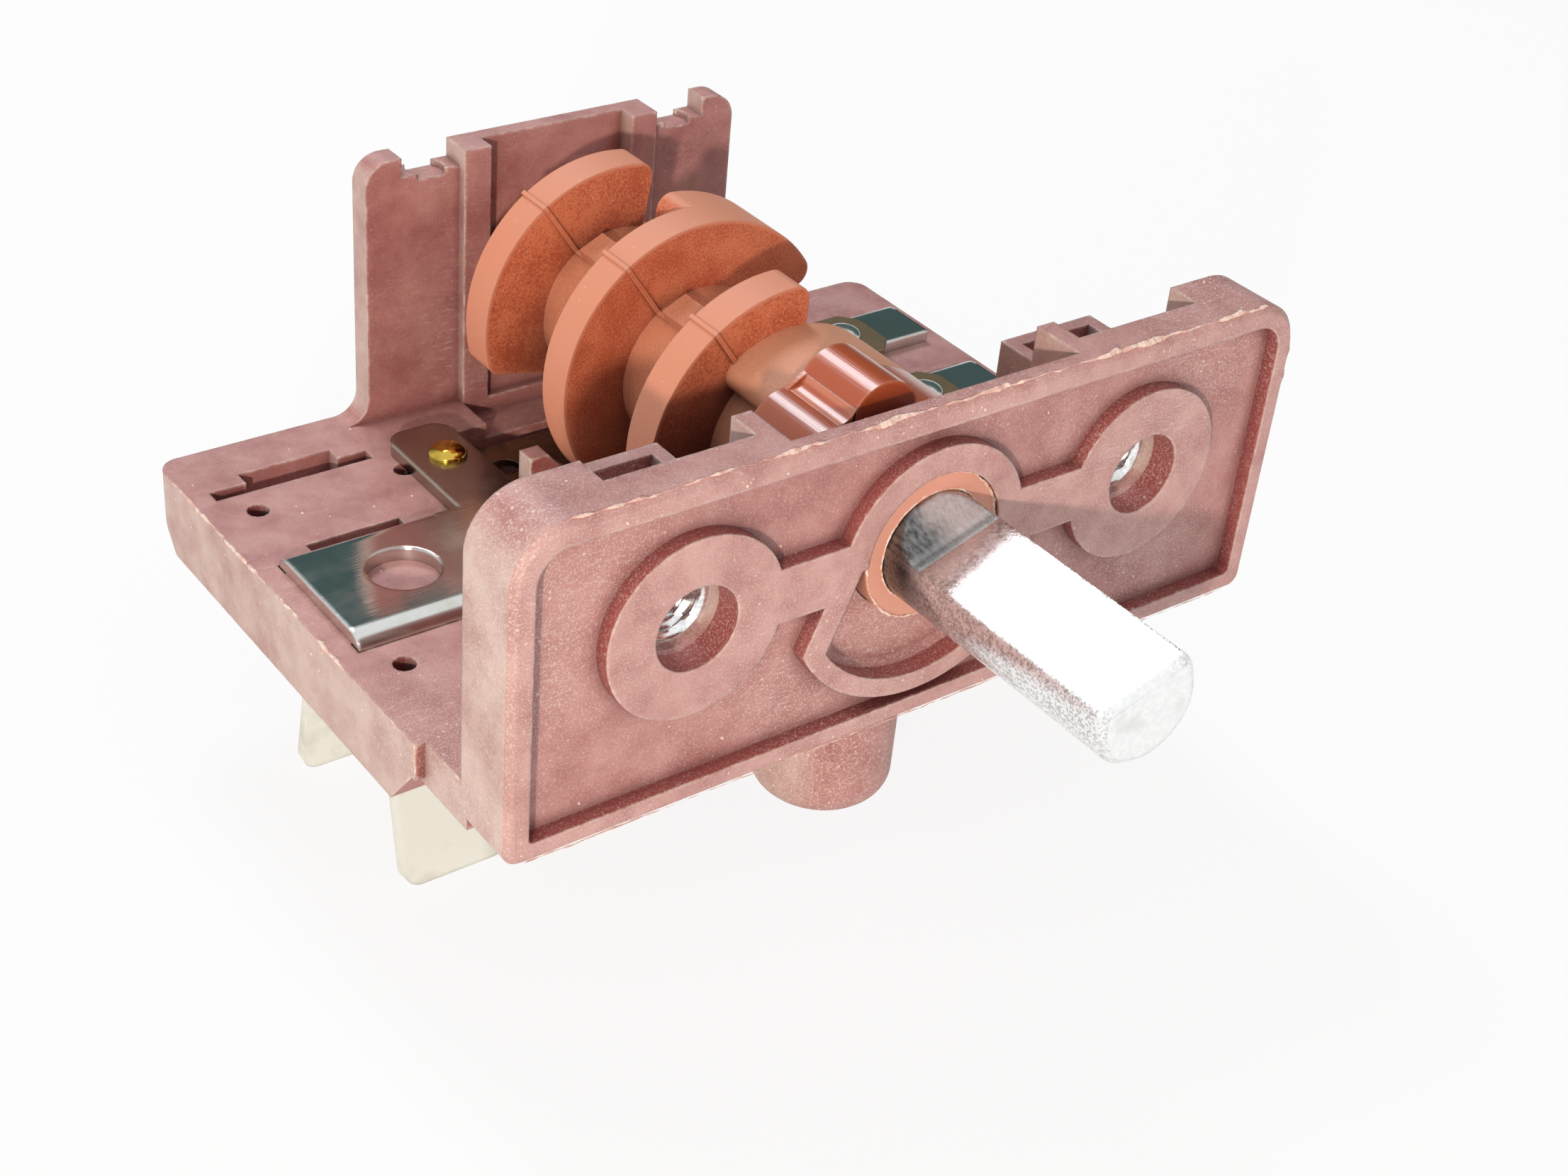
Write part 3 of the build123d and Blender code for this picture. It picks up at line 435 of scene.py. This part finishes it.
# Small metal parts: springs of rolled bronze, dull and stained; rivets of polished brass; silver contacts;
# drawn spring wire. The plunger is natural nylon, slightly waxy.
smallLook = {"cornerRound": 0.08, "bumpHeight": 0.01, "moreRough": 0.2}
metalLooks = {
    "rolledBronze": {"colour": "9A8468", "stain": "66553C", "roughness": 0.38, "spot": 1.6, "metallic": 1.0,
                     "nodes": ["contact_spring_front", "contact_spring_middle", "contact_spring_rear"]},
    "polishedBrass": {"colour": "D2B04C", "stain": "6F5D22", "roughness": 0.1, "spot": 1.0, "metallic": 1.0,
                      "nodes": ["fixed_contact_front", "fixed_contact_middle", "fixed_contact_rear"]},
    "contactSilver": {"colour": "E6E5E0", "stain": "A9A69B", "roughness": 0.2, "spot": 0.8, "metallic": 1.0,
                      "nodes": ["contact_tip_front", "contact_tip_middle", "contact_tip_rear",
                                "terminal_rivet_front", "terminal_rivet_middle", "terminal_rivet_rear"]},
    "drawnSpringWire": {"colour": "9C9C9B", "stain": "5C5B59", "roughness": 0.3, "spot": 0.6,
                        "metallic": 1.0, "nodes": ["detent_spring"]},
    "naturalNylon": {"colour": "E6E0D2", "stain": "CFC6B2", "roughness": 0.42, "spot": 2.0, "metallic": 0.0,
                     "nodes": ["detent_plunger"]},
}


def smallPart(name, look):
    material, add = newMaterial(name)
    place = add("TexCoord")["Object"]
    spots = add("TexNoise", {"Vector": place, "Scale": 1000 / look["spot"], "Detail": 4.0,
                             "Roughness": 0.65})[0]
    amount = add("MapRange", {0: spots, 1: 0.48, 2: 0.72, 4: 0.8})[0]
    colour = add("Mix", {0: amount, 6: linear(look["colour"]), 7: linear(look["stain"])}, data_type="RGBA")[2]
    rough = add("MapRange", {0: amount, 3: look["roughness"], 4: look["roughness"] + look["moreRough"]})[0]
    roundEdge = add("Bevel", {"Radius": look["cornerRound"] * mm}, samples=4)[0]
    normal = add("Bump", {"Height": spots, "Distance": look["bumpHeight"] * mm, "Strength": 0.4,
                          "Normal": roundEdge})[0]
    shader = add("BsdfPrincipled", {"Base Color": colour, "Metallic": look["metallic"], "Roughness": rough,
                                    "Normal": normal})[0]
    add("OutputMaterial", {"Surface": shader})
    return material


finishes = {}
for lookName, look in metalLooks.items():
    finishes[lookName] = smallPart(lookName, dict(smallLook, **look))
    dress(look["nodes"], finishes[lookName])
print("small parts done")


# Surface helpers: every new piece is worked out as whole arrays on a grid of two parameters.
sharpAngle = 38.0  # degrees; edges bent more than this stay sharp
weldReach = 0.0005  # corners nearer than this become one


def gridFaces(rows, columns, wrapRows=False):  # quads of a grid whose columns close round
    r = np.arange(rows if wrapRows else rows - 1)[:, None]
    c = np.arange(columns)[None, :]
    here, right = r * columns + c, r * columns + (c + 1) % columns
    below, diagonal = ((r + 1) % rows) * columns + c, ((r + 1) % rows) * columns + (c + 1) % columns
    return np.stack([here, below, diagonal, right], -1).reshape(-1, 4)


# joins (points, faces) parts into one mesh in its place
def makePiece(name, parts, material, body, smooth=True):
    points, faces, first = [], [], 0
    for partPoints, partFaces in parts:
        points.append(np.asarray(partPoints, float).reshape(-1, 3))
        faces += [tuple(int(i) + first for i in face) for face in partFaces]
        first += len(points[-1])
    mesh = bpy.data.meshes.new(name)
    mesh.from_pydata((np.concatenate(points) * mm).tolist(), [], faces)
    work = bmesh.new()
    work.from_mesh(mesh)
    bmesh.ops.remove_doubles(work, verts=work.verts, dist=weldReach * mm)
    bmesh.ops.recalc_face_normals(work, faces=work.faces)
    work.to_mesh(mesh)
    work.free()
    mesh.polygons.foreach_set("use_smooth", [smooth] * len(mesh.polygons))
    if smooth:
        mesh.set_sharp_from_angle(angle=math.radians(sharpAngle))
    mesh.materials.append(material)
    piece = bpy.data.objects.new(name, mesh)
    bpy.context.scene.collection.objects.link(piece)
    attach(piece, body)
    return piece


def spun(profile, centre, sides=40):  # (radius, height) pairs carried once round an upright axis
    turn = np.linspace(0, 2 * np.pi, sides, endpoint=False)
    profile = np.asarray(profile, float)
    points = np.stack([centre[0] + profile[:, :1] * np.cos(turn), centre[1] + profile[:, :1] * np.sin(turn),
                       centre[2] + profile[:, 1:] + 0 * turn], -1)
    return points.reshape(-1, 3), gridFaces(len(profile), sides)


def smoothNoise(draw, count, step):  # random values every few stations, joined by straight runs
    knots = draw.random(count // step + 3)
    return np.interp(np.arange(count) / step, np.arange(len(knots)), knots)


def plainFinish(name, colour, paler, spot, roughness):
    material, add = newMaterial(name)
    place = add("TexCoord")["Object"]
    spots = add("TexNoise", {"Vector": place, "Scale": 1000 / spot, "Detail": 3.0})[0]
    amount = add("MapRange", {0: spots, 1: 0.4, 2: 0.6})[0]
    mixed = add("Mix", {0: amount, 6: linear(colour), 7: linear(paler)}, data_type="RGBA")[2]
    shader = add("BsdfPrincipled", {"Base Color": mixed, "Roughness": roughness})[0]
    add("OutputMaterial", {"Surface": shader})
    return material


# Rivets: brass contacts on the arm with high round heads, silver ones on the right-hand feet.
rivetLook = {"headRadius": 1.1, "headHeight": 0.62, "rimShare": 0.18, "headSink": 0.55, "shankHalf": 0.5,
             "buttonRadius": 1.0, "buttonHeight": 0.5, "buttonCorner": 0.15, "buttonBevel": 0.12,
             "sides": 40, "domeSteps": 9, "rows": {"front": 12.6, "middle": 20.6, "rear": 28.6}}


def rivetHead(look, x, y, seat):  # a flat seat, an upright rim and a quarter-ellipse dome
    lift = np.linspace(0, np.pi / 2, look["domeSteps"])
    rim = look["headHeight"] * look["rimShare"]
    away, up = look["headRadius"] * np.cos(lift), rim + (look["headHeight"] - rim) * np.sin(lift)
    dome = np.stack([away, up], -1)
    return spun([(0.0, 0.0), (look["headRadius"], 0.0), *dome.tolist()], (x, y, seat), look["sides"])


def squarePin(half, x, y, low, high):  # an upright bar of square section
    corners = np.array([(-half, -half), (half, -half), (half, half), (-half, half)]) + (x, y)
    points = np.concatenate([np.c_[corners, np.full(4, low)], np.c_[corners, np.full(4, high)]])
    return points, [(0, 3, 2, 1), (4, 5, 6, 7), (0, 1, 5, 4), (1, 2, 6, 5), (2, 3, 7, 6), (3, 0, 4, 7)]


def rivetPlace(look, box):  # middle of a CAD rivet, its underside, and the seat of its head
    low, high = box
    return (low.x + high.x) / 2 / mm, low.z / mm, high.z / mm - look["headSink"]


def makeRivets(look):
    for name, row in look["rows"].items():
        x, low, seat = rivetPlace(look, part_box("fixed_contact_" + name))
        button = [(0.0, 0.0), (look["buttonRadius"] - look["buttonCorner"], 0.0),
                  (look["buttonRadius"], look["buttonBevel"]),
                  (look["buttonRadius"], look["buttonHeight"]), (0.0, look["buttonHeight"])]
        parts = [rivetHead(look, x, row, seat),
                 squarePin(look["shankHalf"], x, row, low + look["buttonHeight"], seat),
                 spun(button, (x, row, low), look["sides"])]
        piece = makePiece("brassContact_" + name, parts, finishes["polishedBrass"], "housing")
        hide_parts("fixed_contact_" + name)
        x, low, seat = rivetPlace(look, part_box("terminal_rivet_" + name))
        parts = [rivetHead(look, x, row, seat), squarePin(look["shankHalf"], x, row, low, seat)]
        piece = makePiece("silverRivet_" + name, parts, finishes["contactSilver"], "housing")
        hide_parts("terminal_rivet_" + name)


makeRivets(rivetLook)
print("rivets done")


# Nut plates: square zinc-plated plates with an M4 thread, whose bright turns show through the fixing holes.
nutLook = {"halfPitch": 14.0, "half": 4.0, "corner": 0.6, "front": 2.2, "thickness": 1.75,
           "core": 1.65, "threadDepth": 0.33, "threadPitch": 0.7, "flareSteep": 9, "sides": 96, "steps": 20}


# square outline at the back, in to the bore, along the turns, and out at the front
def nutSurface(look, middle):
    turn = np.linspace(0, 2 * np.pi, look["sides"], endpoint=False)
    ways = np.abs(np.cos(turn)), np.abs(np.sin(turn))
    square = np.minimum(look["half"] / np.maximum(*ways),
                        (2 * look["half"] - look["corner"]) / (ways[0] + ways[1]))
    along = np.linspace(0, 1, look["steps"])[:, None]
    y = look["front"] + look["thickness"] * (1 - along)
    phase = (y / look["threadPitch"] + turn / (2 * np.pi)) % 1.0
    near = look["flareSteep"] * np.minimum(along, 1 - along)
    flare = look["threadDepth"] * np.clip(1 - near, 0, 1)  # the countersunk ends
    bore = look["core"] + np.maximum(look["threadDepth"] * np.abs(2 * phase - 1), flare)
    radius = np.concatenate([square[None], bore, square[None]])
    depth = np.concatenate([y[:1], y, y[-1:]]) + 0 * turn
    points = np.stack([middle + radius * np.cos(turn), depth, radius * np.sin(turn)], -1)
    return points.reshape(-1, 3), gridFaces(len(radius), look["sides"], wrapRows=True)


for side, sideName in ((-1, "left"), (1, "right")):
    nut = makePiece("threadedNut_" + sideName, [nutSurface(nutLook, side * nutLook["halfPitch"])], nutFinish,
                    "housing")
    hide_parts("nut_plate_" + sideName)
print("nuts done")


# Broken moulding edges: crumbly chalk-coloured burr along the corners where the flash was torn off.
burrLook = {"step": 0.11, "sides": 6, "chalk": "F2DACA",
            "runs": [((-21.4, 0.22, 7.93), (21.4, 0.22, 7.93), 0.19, 11),
                     ((-24.38, 7.6, -7.72), (-24.38, 35.0, -7.72), 0.13, 12),
                     ((-23.84, 4.2, -7.72), (-23.84, 7.4, -7.72), 0.1, 13),
                     ((-22.8, 0.2, -10.22), (22.8, 0.2, -10.22), 0.07, 14),
                     ((-24.38, 7.52, -9.6), (-24.38, 7.52, -7.75), 0.08, 15)]}


# a thin rough tube on a wandering line, pinched out where it has broken off
def burrRun(look, start, end, size, seed):
    draw = np.random.default_rng(seed)
    start, end = np.array(start), np.array(end)
    count = int(np.linalg.norm(end - start) / look["step"])
    along = np.linspace(0, 1, count)[:, None]
    middle = start + (end - start) * along
    middle = middle + (np.stack([smoothNoise(draw, count, 5) for _ in range(3)], -1) - 0.5) * size * 0.7
    width = smoothNoise(draw, count, 3) * 0.6 + smoothNoise(draw, count, 14) * 0.9 - 0.4
    width = np.clip(width, 0.04, 1.0)[:, None] * size * (0.8 + 0.4 * draw.random((count, look["sides"])))
    width[[0, -1]] = 0.0
    ahead = (end - start) / np.linalg.norm(end - start)
    side = np.cross(ahead, (0.3, 0.5, 0.8))
    side /= np.linalg.norm(side)
    up = np.cross(ahead, side)
    turn = np.linspace(0, 2 * np.pi, look["sides"], endpoint=False)
    ring = np.cos(turn)[:, None] * side + np.sin(turn)[:, None] * up
    points = middle[:, None, :] + ring[None] * width[:, :, None]
    return points.reshape(-1, 3), gridFaces(count, look["sides"])


makePiece("edgeBurr", [burrRun(burrLook, *run) for run in burrLook["runs"]],
          plainFinish("brokenPolyesterEdge", "DDB0A2", burrLook["chalk"], 0.5, 0.7), "housing", smooth=False)
print("burr done")


# Crumbs and lint: grains of broken moulding and short pale hairs that lie on the surfaces.
crumbLook = {"reach": 0.12, "small": 0.025, "large": 0.1, "colour": "F4E3D6",
             "faces": [((-22.5, 22.5), (0.9, 0.9), (-9.0, 6.7), 90, 31),
                       ((-23.5, 23.5), (0.0, 0.0), (-10.1, -9.2), 60, 32),
                       ((-23.5, 23.5), (0.0, 0.0), (6.9, 7.5), 36, 33),
                       ((-24.0, -13.0), (7.8, 35.5), (-7.7, -7.7), 70, 34),
                       ((-24.4, -24.4), (8.0, 36.0), (-9.6, -7.9), 50, 35),
                       ((-23.5, 23.5), (0.4, 3.8), (7.95, 7.95), 50, 36)]}
hairLook = {"width": 0.022, "step": 0.12, "sides": 5, "bend": 0.9, "colour": "E9DCCB",
            "hairs": [(2.3, 1.52, -5.6, 1.6, 0.5, 41), (4.1, 1.52, -5.0, 1.3, 2.2, 42),
                      (-1.8, 1.52, -6.3, 1.1, 1.2, 43), (18.4, 0.05, 2.6, 2.6, 4.0, 44),
                      (17.2, 0.95, 4.9, 1.2, 2.9, 45), (6.6, 0.95, 4.6, 1.0, 0.9, 46),
                      (-7.2, 0.95, -6.2, 1.4, 5.2, 47), (-12.2, 0.05, -3.6, 1.2, 0.2, 48)]}


baseTree = BVHTree.FromObject(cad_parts["base"], bpy.context.evaluated_depsgraph_get())


# one small eight-sided grain per place on the base, each squeezed its own way
def crumbField(look, x, y, z, count, seed):
    draw = np.random.default_rng(seed)
    centre = np.stack([draw.uniform(*x, count), draw.uniform(*y, count), draw.uniform(*z, count)], -1)
    seats = [baseTree.find_nearest(Vector(place) * mm) for place in centre]
    seats = [seat for seat in seats if seat[3] < look["reach"] * mm]  # the others would float
    centre = np.array([seat[0] / mm for seat in seats])
    count = len(centre)
    size = look["small"] + (look["large"] - look["small"]) * draw.random((count, 1, 1)) ** 3
    tips = np.array([(1, 0, 0), (-1, 0, 0), (0, 1, 0), (0, -1, 0), (0, 0, 1), (0, 0, -1)])
    shape = tips * (0.5 + draw.random((count, 6, 1)))
    points = centre[:, None, :] + shape * size
    corners = np.array([(0, 2, 4), (2, 1, 4), (1, 3, 4), (3, 0, 4), (2, 0, 5), (1, 2, 5), (3, 1, 5),
                        (0, 3, 5)])
    return points.reshape(-1, 3), (corners[None] + 6 * np.arange(count)[:, None, None]).reshape(-1, 3)


# a thin round thread that bends slowly in the plane of the plate
def lintHair(look, x, y, z, length, way, seed):
    draw = np.random.default_rng(seed)
    count = max(int(length / look["step"]), 6)
    heading = way + np.cumsum((smoothNoise(draw, count, 4) - 0.5) * look["bend"])
    steps = np.stack([np.cos(heading), 0 * heading, np.sin(heading)], -1) * look["step"]
    path = np.cumsum(steps, 0) + (x, y - look["width"], z)
    side = np.stack([-np.sin(heading), 0 * heading, np.cos(heading)], -1)
    turn = np.linspace(0, 2 * np.pi, look["sides"], endpoint=False)
    across, outward = np.cos(turn)[None, :, None], np.sin(turn)[None, :, None]
    ring = across * side[:, None, :] + outward * np.array((0.0, 1.0, 0.0))
    width = np.full((count, 1, 1), look["width"])
    width[[0, -1]] = 0.0
    return (path[:, None, :] + ring * width).reshape(-1, 3), gridFaces(count, look["sides"])


makePiece("mouldingCrumbs", [crumbField(crumbLook, *face) for face in crumbLook["faces"]],
          plainFinish("polyesterDust", "E3C3B6", crumbLook["colour"], 0.4, 0.8), "housing", smooth=False)
makePiece("lintHairs", [lintHair(hairLook, *hair) for hair in hairLook["hairs"]],
          plainFinish("cottonLint", "D8C8B4", hairLook["colour"], 0.6, 0.9), "housing")
print("crumbs and lint done")


# Front journal: pale torn lips round its outer edge and round the shaft.
lipLook = {"seat": 0.24, "sides": 6, "step": 0.12, "join": 8, "colour": "E8B79D", "paler": "FAE6D8",
           "loops": [(4.0, 0.085, 51), (3.08, 0.06, 52)]}


def lipLoop(look, radius, size, seed):  # a thin rough tube bent into a ring round the shaft axis
    draw = np.random.default_rng(seed)
    count, join = int(2 * np.pi * radius / look["step"]), look["join"]
    turn = np.linspace(0, 2 * np.pi, count, endpoint=False)
    width = size * np.clip(smoothNoise(draw, count, 3) * 0.8 + smoothNoise(draw, count, 11) * 0.8 - 0.25,
                           0.12, 1.2)
    width[-join:] = np.linspace(width[-join - 1], width[0], join)
    away = radius + (smoothNoise(draw, count, 4) - 0.5) * size
    away[-join:] = np.linspace(away[-join - 1], away[0], join)
    around = np.linspace(0, 2 * np.pi, look["sides"], endpoint=False)
    ragged = 0.99 + 0.02 * draw.random((count, look["sides"]))
    outward = (away[:, None] + width[:, None] * np.cos(around)) * ragged
    forward = look["seat"] - width[:, None] * np.sin(around)
    points = np.stack([outward * np.cos(turn)[:, None], forward, outward * np.sin(turn)[:, None]], -1)
    return points.reshape(-1, 3), gridFaces(count, look["sides"], wrapRows=True)


makePiece("journalLips", [lipLoop(lipLook, *loop) for loop in lipLook["loops"]],
          plainFinish("brokenPhenolicEdge", lipLook["colour"], lipLook["paler"], 0.5, 0.7), "rotor",
          smooth=False)
print("journal lips done")


# Run-out of the shaft's flat: in front of the journal the flat curves up to the full round of the shaft.
runOutLook = {"radius": 3.0, "flat": 1.6, "angle": 108.0, "start": -2.2, "end": 0.245, "power": 2.2,
              "rows": 30, "across": 14, "edge": 7, "lastChord": 0.02}


def runOut(look):  # rows of D-segment outlines whose chord rises from the flat to the round, slowly at first
    radius, flat = look["radius"], look["flat"]
    along = np.linspace(0, 1, look["rows"])
    y = look["start"] + (look["end"] - look["start"]) * along
    # the last row keeps a short chord
    chord = flat + (radius - look["lastChord"] - flat) * along ** look["power"]
    half = np.sqrt(radius ** 2 - chord ** 2)
    top = np.linspace(-1, 1, look["across"])[None] * half[:, None]
    low, high = np.arcsin(half / radius), math.acos(flat / radius)
    step = np.linspace(0, 1, look["edge"])[None, 1:]
    fall = low[:, None] + (high - low[:, None]) * step
    beside, above = radius * np.sin(fall), radius * np.cos(fall)
    sideways = np.concatenate([top, beside, -beside[:, ::-1]], 1)
    upward = np.concatenate([chord[:, None] + 0 * top, above, above[:, ::-1]], 1)
    turn = math.radians(look["angle"])
    points = np.stack([upward * math.cos(turn) + sideways * math.sin(turn), y[:, None] + 0 * upward,
                       upward * math.sin(turn) - sideways * math.cos(turn)], -1)
    columns = points.shape[1]
    cap = [tuple(range((look["rows"] - 1) * columns, look["rows"] * columns))]
    return points.reshape(-1, 3), gridFaces(look["rows"], columns).tolist() + cap


makePiece("flatRunOut", [runOut(runOutLook)], shaftFinish, "rotor")
print("run-out done")


# Wheel valleys: the hollows between the lobes of the detent wheel are rounded, not sharp.
valleyLook = {"lobes": 8, "first": 105.0, "pitch": 30.0, "centre": 6.3, "lobe": 2.0, "fillet": 1.2,
              "depth": 0.3, "front": 3.0, "back": 6.9, "steps": 15}


def valley(look, number):  # a bar whose outer side is a hollow arc tangent to both lobes
    half = look["centre"] * math.sin(math.radians(look["pitch"] / 2))
    base = look["centre"] * math.cos(math.radians(look["pitch"] / 2))
    middle = math.sqrt((look["lobe"] + look["fillet"]) ** 2 - half ** 2)
    lean = math.atan2(half, middle)
    sweep = np.linspace(-lean, lean, look["steps"])
    across = look["fillet"] * np.sin(sweep)
    outward = base + middle - look["fillet"] * np.cos(sweep)
    across = np.concatenate([across, [0.0]])
    outward = np.concatenate([outward, [base + math.sqrt(look["lobe"] ** 2 - half ** 2) - look["depth"]]])
    turn = math.radians(look["first"] + look["pitch"] * (number + 0.5))
    ring = np.stack([outward * math.cos(turn) - across * math.sin(turn), 0 * across,
                     outward * math.sin(turn) + across * math.cos(turn)], -1)
    points = np.stack([ring + (0, look["front"], 0), ring + (0, look["back"], 0)])
    count = len(across)
    return points.reshape(-1, 3), gridFaces(2, count).tolist() + [tuple(range(count)),
                                                                  tuple(range(count, 2 * count))]


makePiece("wheelValleys", [valley(valleyLook, number) for number in range(valleyLook["lobes"] - 1)],
          camFinish, "rotor")
print("valleys done")


# Studio: a pale floor under the lowest tab, a pale surround that is darker low down behind the object,
# a small warm lamp on the left, and a broad cool one above behind, which shines in the glossy parts.
studio = {
    "floorHalf": 1.5, "floorGap": 0.02, "floorColour": "F6F5F3", "floorShown": 0.88,
    "surroundStrength": 0.56, "aboveStrength": 0.4, "lowBehind": "4A5E5E", "behind": (0.66, 0.74, 0.1),
    "lamps": {"deskLamp": {"place": (-183.0, -161.0, 72.5), "aim": (0.0, 10.0, -1.0), "power": 0.38,
                           "width": 12.0, "colour": "FFEEE0"},
              "windowLight": {"place": (20.0, 200.0, 250.0), "aim": (0.0, 15.0, 0.0), "power": 0.4,
                              "width": 110.0, "colour": "F4F8FF"}},
    "cameraPlace": (-67.1408, -69.8172, 61.6974), "cameraTurn": (55.93188, -4.81405, -36.44735),
    "lens": 54.16, "sensor": 36.0,
}


def makeFloor(look):
    half, low = look["floorHalf"], cadBox[0].z - look["floorGap"] * mm
    mesh = bpy.data.meshes.new("floor")
    mesh.from_pydata([(-half, -half, low), (half, -half, low), (half, half, low), (-half, half, low)], [],
                     [(0, 1, 2, 3)])
    floor = bpy.data.objects.new("floor", mesh)
    bpy.context.scene.collection.objects.link(floor)
    material, add = newMaterial("whiteCard")
    path = add("LightPath")
    direct = add("Math", {0: path["Is Camera Ray"], 1: path["Is Glossy Ray"]}, operation="MAXIMUM")[0]
    seen = add("Math", {0: direct, 1: look["floorShown"]}, operation="MULTIPLY")[0]
    card = add("BsdfDiffuse", {"Color": linear(look["floorColour"])})[0]
    glow = add("Emission", {"Color": (1, 1, 1, 1), "Strength": 1.0})[0]
    both = add("MixShader", {0: seen, 1: card, 2: glow})[0]
    add("OutputMaterial", {"Surface": both})
    mesh.materials.append(material)


def makeSurround(look):
    world = bpy.data.worlds.new("paleSurround")
    world.use_nodes = True
    world.node_tree.nodes.clear()
    add = partial(addNode, world.node_tree)
    path = add("LightPath")
    direction = add("TexCoord")["Generated"]
    high = add("SeparateXYZ", {0: direction})[2]
    facing = add("VectorMath", {0: direction, 1: look["behind"]}, operation="DOT_PRODUCT")["Value"]
    shade = add("MapRange", {0: facing, 1: -0.8, 2: 0.6, 3: 1.25, 4: 0.6})[0]
    around = add("Math", {0: shade, 1: look["surroundStrength"]}, operation="MULTIPLY")[0]
    # more light from straight above
    above = add("MapRange", {0: high, 1: 0.55, 2: 0.8, 4: look["aboveStrength"]})[0]
    band = add("MapRange", {0: high, 1: 0.1, 2: 0.5, 3: 1.3, 4: 0.55})[0]  # brighter near the horizon
    around = add("Math", {0: around, 1: band}, operation="MULTIPLY")[0]
    strength = add("Math", {0: around, 1: above}, operation="ADD")[0]
    low = add("MapRange", {0: high, 1: 0.72, 2: 0.63})[0]
    away = add("MapRange", {0: facing, 1: 0.42, 2: 0.62})[0]
    dark = add("Math", {0: low, 1: away}, operation="MULTIPLY")[0]
    tint = add("Mix", {0: dark, 6: (0.98, 0.99, 1.0, 1), 7: linear(look["lowBehind"])}, data_type="RGBA")[2]
    light = add("Background", {0: tint, 1: strength})[0]
    mirrored = add("Background", {0: tint, 1: 1.0})[0]
    white = add("Background", {0: (1, 1, 1, 1), 1: 1.0})[0]
    both = add("MixShader", {0: path["Is Glossy Ray"], 1: light, 2: mirrored})[0]
    both = add("MixShader", {0: path["Is Camera Ray"], 1: both, 2: white})[0]
    add("OutputWorld", {"Surface": both})
    bpy.context.scene.world = world


def makeLamp(name, look):
    lamp = bpy.data.lights.new(name, "AREA")
    lamp.shape, lamp.size, lamp.energy = "DISK", look["width"] * mm, look["power"]
    lamp.color = linear(look["colour"])[:3]
    lampObject = bpy.data.objects.new(name, lamp)
    start, aim = Vector(look["place"]) * mm, Vector(look["aim"]) * mm
    lampObject.location = start
    lampObject.rotation_euler = (aim - start).to_track_quat("-Z", "Y").to_euler()
    bpy.context.scene.collection.objects.link(lampObject)


def makeCamera(look):
    camera = bpy.data.cameras.new("viewer")
    camera.lens, camera.sensor_width = look["lens"], look["sensor"]
    camera.clip_start, camera.clip_end = 0.001, 10.0
    cameraObject = bpy.data.objects.new("viewer", camera)
    cameraObject.location = [v * mm for v in look["cameraPlace"]]
    cameraObject.rotation_euler = [math.radians(v) for v in look["cameraTurn"]]
    bpy.context.scene.collection.objects.link(cameraObject)
    bpy.context.scene.camera = cameraObject


makeFloor(studio)
makeSurround(studio)
for lampName, lampLook in studio["lamps"].items():
    makeLamp(lampName, lampLook)
makeCamera(studio)
bpy.context.scene.view_settings.view_transform = "Standard"
print("studio done")
